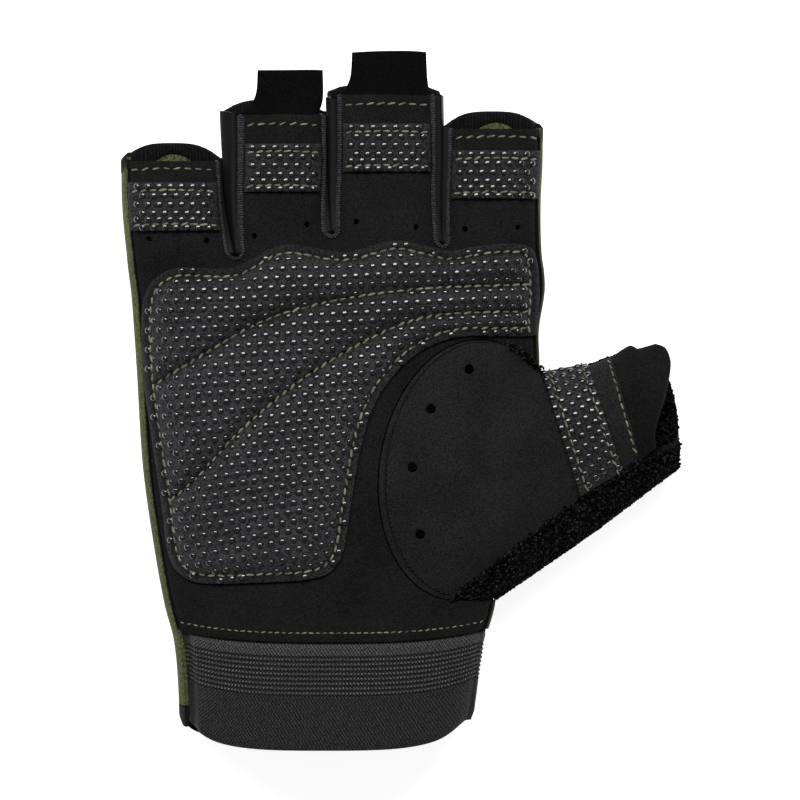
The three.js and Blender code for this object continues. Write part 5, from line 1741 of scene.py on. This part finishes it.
def hole_loop(count):
    """The edge of the hole in the hand's side, from the suede's foot, under and up to the crotch."""
    low, high = THUMB_HOLE_LOW + CLEARANCE, THUMB_HOLE_HIGH - CLEARANCE
    start = thumb_seam(1.0)
    hand = hand_at(low)
    s = (np.arange(4) / 4) ** 0.7
    x = mix(start[0] + 3 * CLEARANCE, hand.right - SEAM_INSET, s)
    over = joined(x, low, palm_top(x, low))

    def side(y, turn, out):
        x, z = side_point(1, y, turn)
        return joined(x + out, y, z)

    down = side(low, [0.75, 0, SEAM_TURN / 2], 0.0)
    under = side(np.linspace(low, high, 7), SEAM_TURN, CLEARANCE * 1.6)
    up = side(high, [SEAM_TURN / 2 - 0.1, -0.15], CLEARANCE)
    return even(np.concatenate([over, down, under, up]), count)


def terry_grid():
    count = 150
    loop = hole_loop(count)
    turns = np.linspace(TERRY_TURN + EDGE_TURN, 2 - EDGE_TURN, count)
    first = thumb_point(np.zeros(count), turns)
    ball = np.stack([mix(loop, first, t) for t in np.linspace(0, 1, 44)[:-1]])
    return np.concatenate([ball, thumb_point(np.linspace(0, 4, 80)[:, None], turns[None])])


def thumb_back(grid):
    lumps = noise(grid, 0.95, 11) * 0.6 + noise(grid, 1.9, 12) * 0.5
    shade = np.clip(0.25 + 0.3 * lumps, 0, 1)
    return grid_wall("thumb_terry", grid, 0.2 * lumps, -TERRY - 0.2 * lumps, shade=shade,
                     sharp=FINE_SHARP)


LOOP = bead([(-0.5, 0), (-0.3, 0.33), (0.3, 0.33), (0.5, 0)], 5)


def pile(name, points, normals, size, spread=0.3):
    """Loops of terry at points, each turned its own way."""
    headings = rng.normal(0, 1, points.shape)
    scales = size * (1 + rng.uniform(-spread, spread, (len(points), 1, 1))) * np.ones((1, 1, 3))
    lifted_points = points + normals * rng.uniform(-0.05, 0.3, (len(points), 1))
    shades = rng.uniform(0, 1, len(points)) ** 1.6
    obj = scatter(name, *LOOP, lifted_points, normals, headings, scales, shades)
    return finish_piece(obj, MAT.terry)


def pile_on(name, grid, count, size):
    """Loops spread evenly over a grid's surface."""
    a, b, d = grid[:-1, :-1], grid[:-1, 1:], grid[1:, :-1]
    across = np.cross(b - a, d - a).reshape(-1, 3)
    area = np.linalg.norm(across, axis=1)
    at = (np.arange(count) + rng.uniform(0, 1, count)) / count
    chosen = np.searchsorted(np.cumsum(area) / area.sum(), at)
    u, v = rng.uniform(0, 1, (2, count, 1))
    corner = [corner.reshape(-1, 3)[chosen] for corner in (a, b, d)]
    points = corner[0] + u * (corner[1] - corner[0]) + v * (corner[2] - corner[0])
    return pile(name, points, across[chosen] / np.maximum(area[chosen], 1e-9)[:, None], size)


terry_face = terry_grid()
finish_piece(thumb_back(terry_face), MAT.terry, ["thumb_back"])
pile_on("thumb_terry_loops", terry_face, 6500, 0.85)
MOUTH_ROWS = 26
mouth = terry_face[-MOUTH_ROWS:, ::-1]
mouth_normals = normals_of(mouth.reshape(-1, 3), grid_faces(*mouth.shape[:2])).reshape(mouth.shape)
lining = mouth + mouth_normals * (TERRY + 0.1)
pile_on("thumb_lining_loops", lining, 1500, 0.8)


def fringe(name, r, share, count, reach, size):
    """Loops that stick out along an edge of the thumb's suede."""
    r = rng.uniform(*r, count)
    share = rng.uniform(*share, count)
    points = panel_points(r, share) + rng.uniform(-reach, reach, (count, 3)) * [1, 1, 0.3]
    points[:, 2] += 0.25
    return pile(name, points, np.tile([0.0, 0.0, 1.0], (count, 1)), size)


fringe("thumb_crotch_fringe", (0.0, 0.02), (0.0, 0.13), 260, 0.9, 0.7)
fringe("thumb_side_fringe", (0.0, 2.9), (0.992, 1.0), 620, 0.55, 0.75)


seam_line = even(panel_points(0.035, np.linspace(0.02, 0.97, 100)), 86)
stitches_at("thumb_seam_stitches", seam_line, np.tile([0.0, 0.0, 1.0], (len(seam_line), 1)),
            unit(np.gradient(seam_line, axis=0)), length=0.75, width=0.8, material=MAT.dark_thread)


# Stage
def area_light(name, energy, size, place, aim=(0, 0, 0.01)):
    data = bpy.data.lights.new(name, "AREA")
    data.energy = energy
    data.shape = "RECTANGLE"
    data.size, data.size_y = size
    light = bpy.data.objects.new(name, data)
    light.location = place
    light.rotation_euler = (Vector(aim) - Vector(place)).to_track_quat("-Z", "Y").to_euler()
    bpy.context.scene.collection.objects.link(light)


# The floor and the camera's lengths are in metres
FLOOR_SIZE = 12.0
FLOOR_DROP = 0.0006
PAPER = 0.93
PAPER_GLOW = 0.85
WHITE = (1, 1, 1, 1)
bpy.ops.mesh.primitive_plane_add(size=FLOOR_SIZE, location=(0, 0, -FLOOR_DROP))
floor = bpy.context.object
floor.name = "floor"
paper = Finish("floor_paper", (250, 250, 250), 0.9, specular=0.1)
paper.colour = (PAPER, PAPER, PAPER)
paper.shade(paper.noise(300, 2), 0.99, 1.01)
paper.set({"Emission Color": WHITE, "Emission Strength": PAPER_GLOW})
floor.data.materials.append(paper.done())

world = bpy.context.scene.world or bpy.data.worlds.new("studio")
bpy.context.scene.world = world
world.use_nodes = True
background = world.node_tree.nodes["Background"]
background.inputs["Color"].default_value = WHITE
background.inputs["Strength"].default_value = WORLD_LIGHT
KEY_PLACE = (-0.08, 0.6, 0.95)
KEY_SIZE = (1.3, 0.4)
key_reach = math.dist(KEY_PLACE, (0, 0, 0))
area_light("key", KEY_LIGHT * math.pi**2 * key_reach**3 / KEY_PLACE[2], KEY_SIZE, KEY_PLACE)
bpy.context.scene.view_settings.view_transform = "Standard"
bpy.context.scene.view_settings.look = "None"

CAMERA_HEIGHT = 3.0
PHOTO_WIDTH = 0.2
PHOTO_LEVEL = 0.014
SENSOR = 36
camera_data = bpy.data.cameras.new("camera")
camera_data.sensor_width = SENSOR
camera_data.lens = SENSOR * (CAMERA_HEIGHT - PHOTO_LEVEL) / PHOTO_WIDTH
camera_data.clip_start = 0.1
camera_data.clip_end = 50
camera = bpy.data.objects.new("camera", camera_data)
camera.location = (-0.0001, 0.0001, CAMERA_HEIGHT)
bpy.context.scene.collection.objects.link(camera)
bpy.context.scene.camera = camera
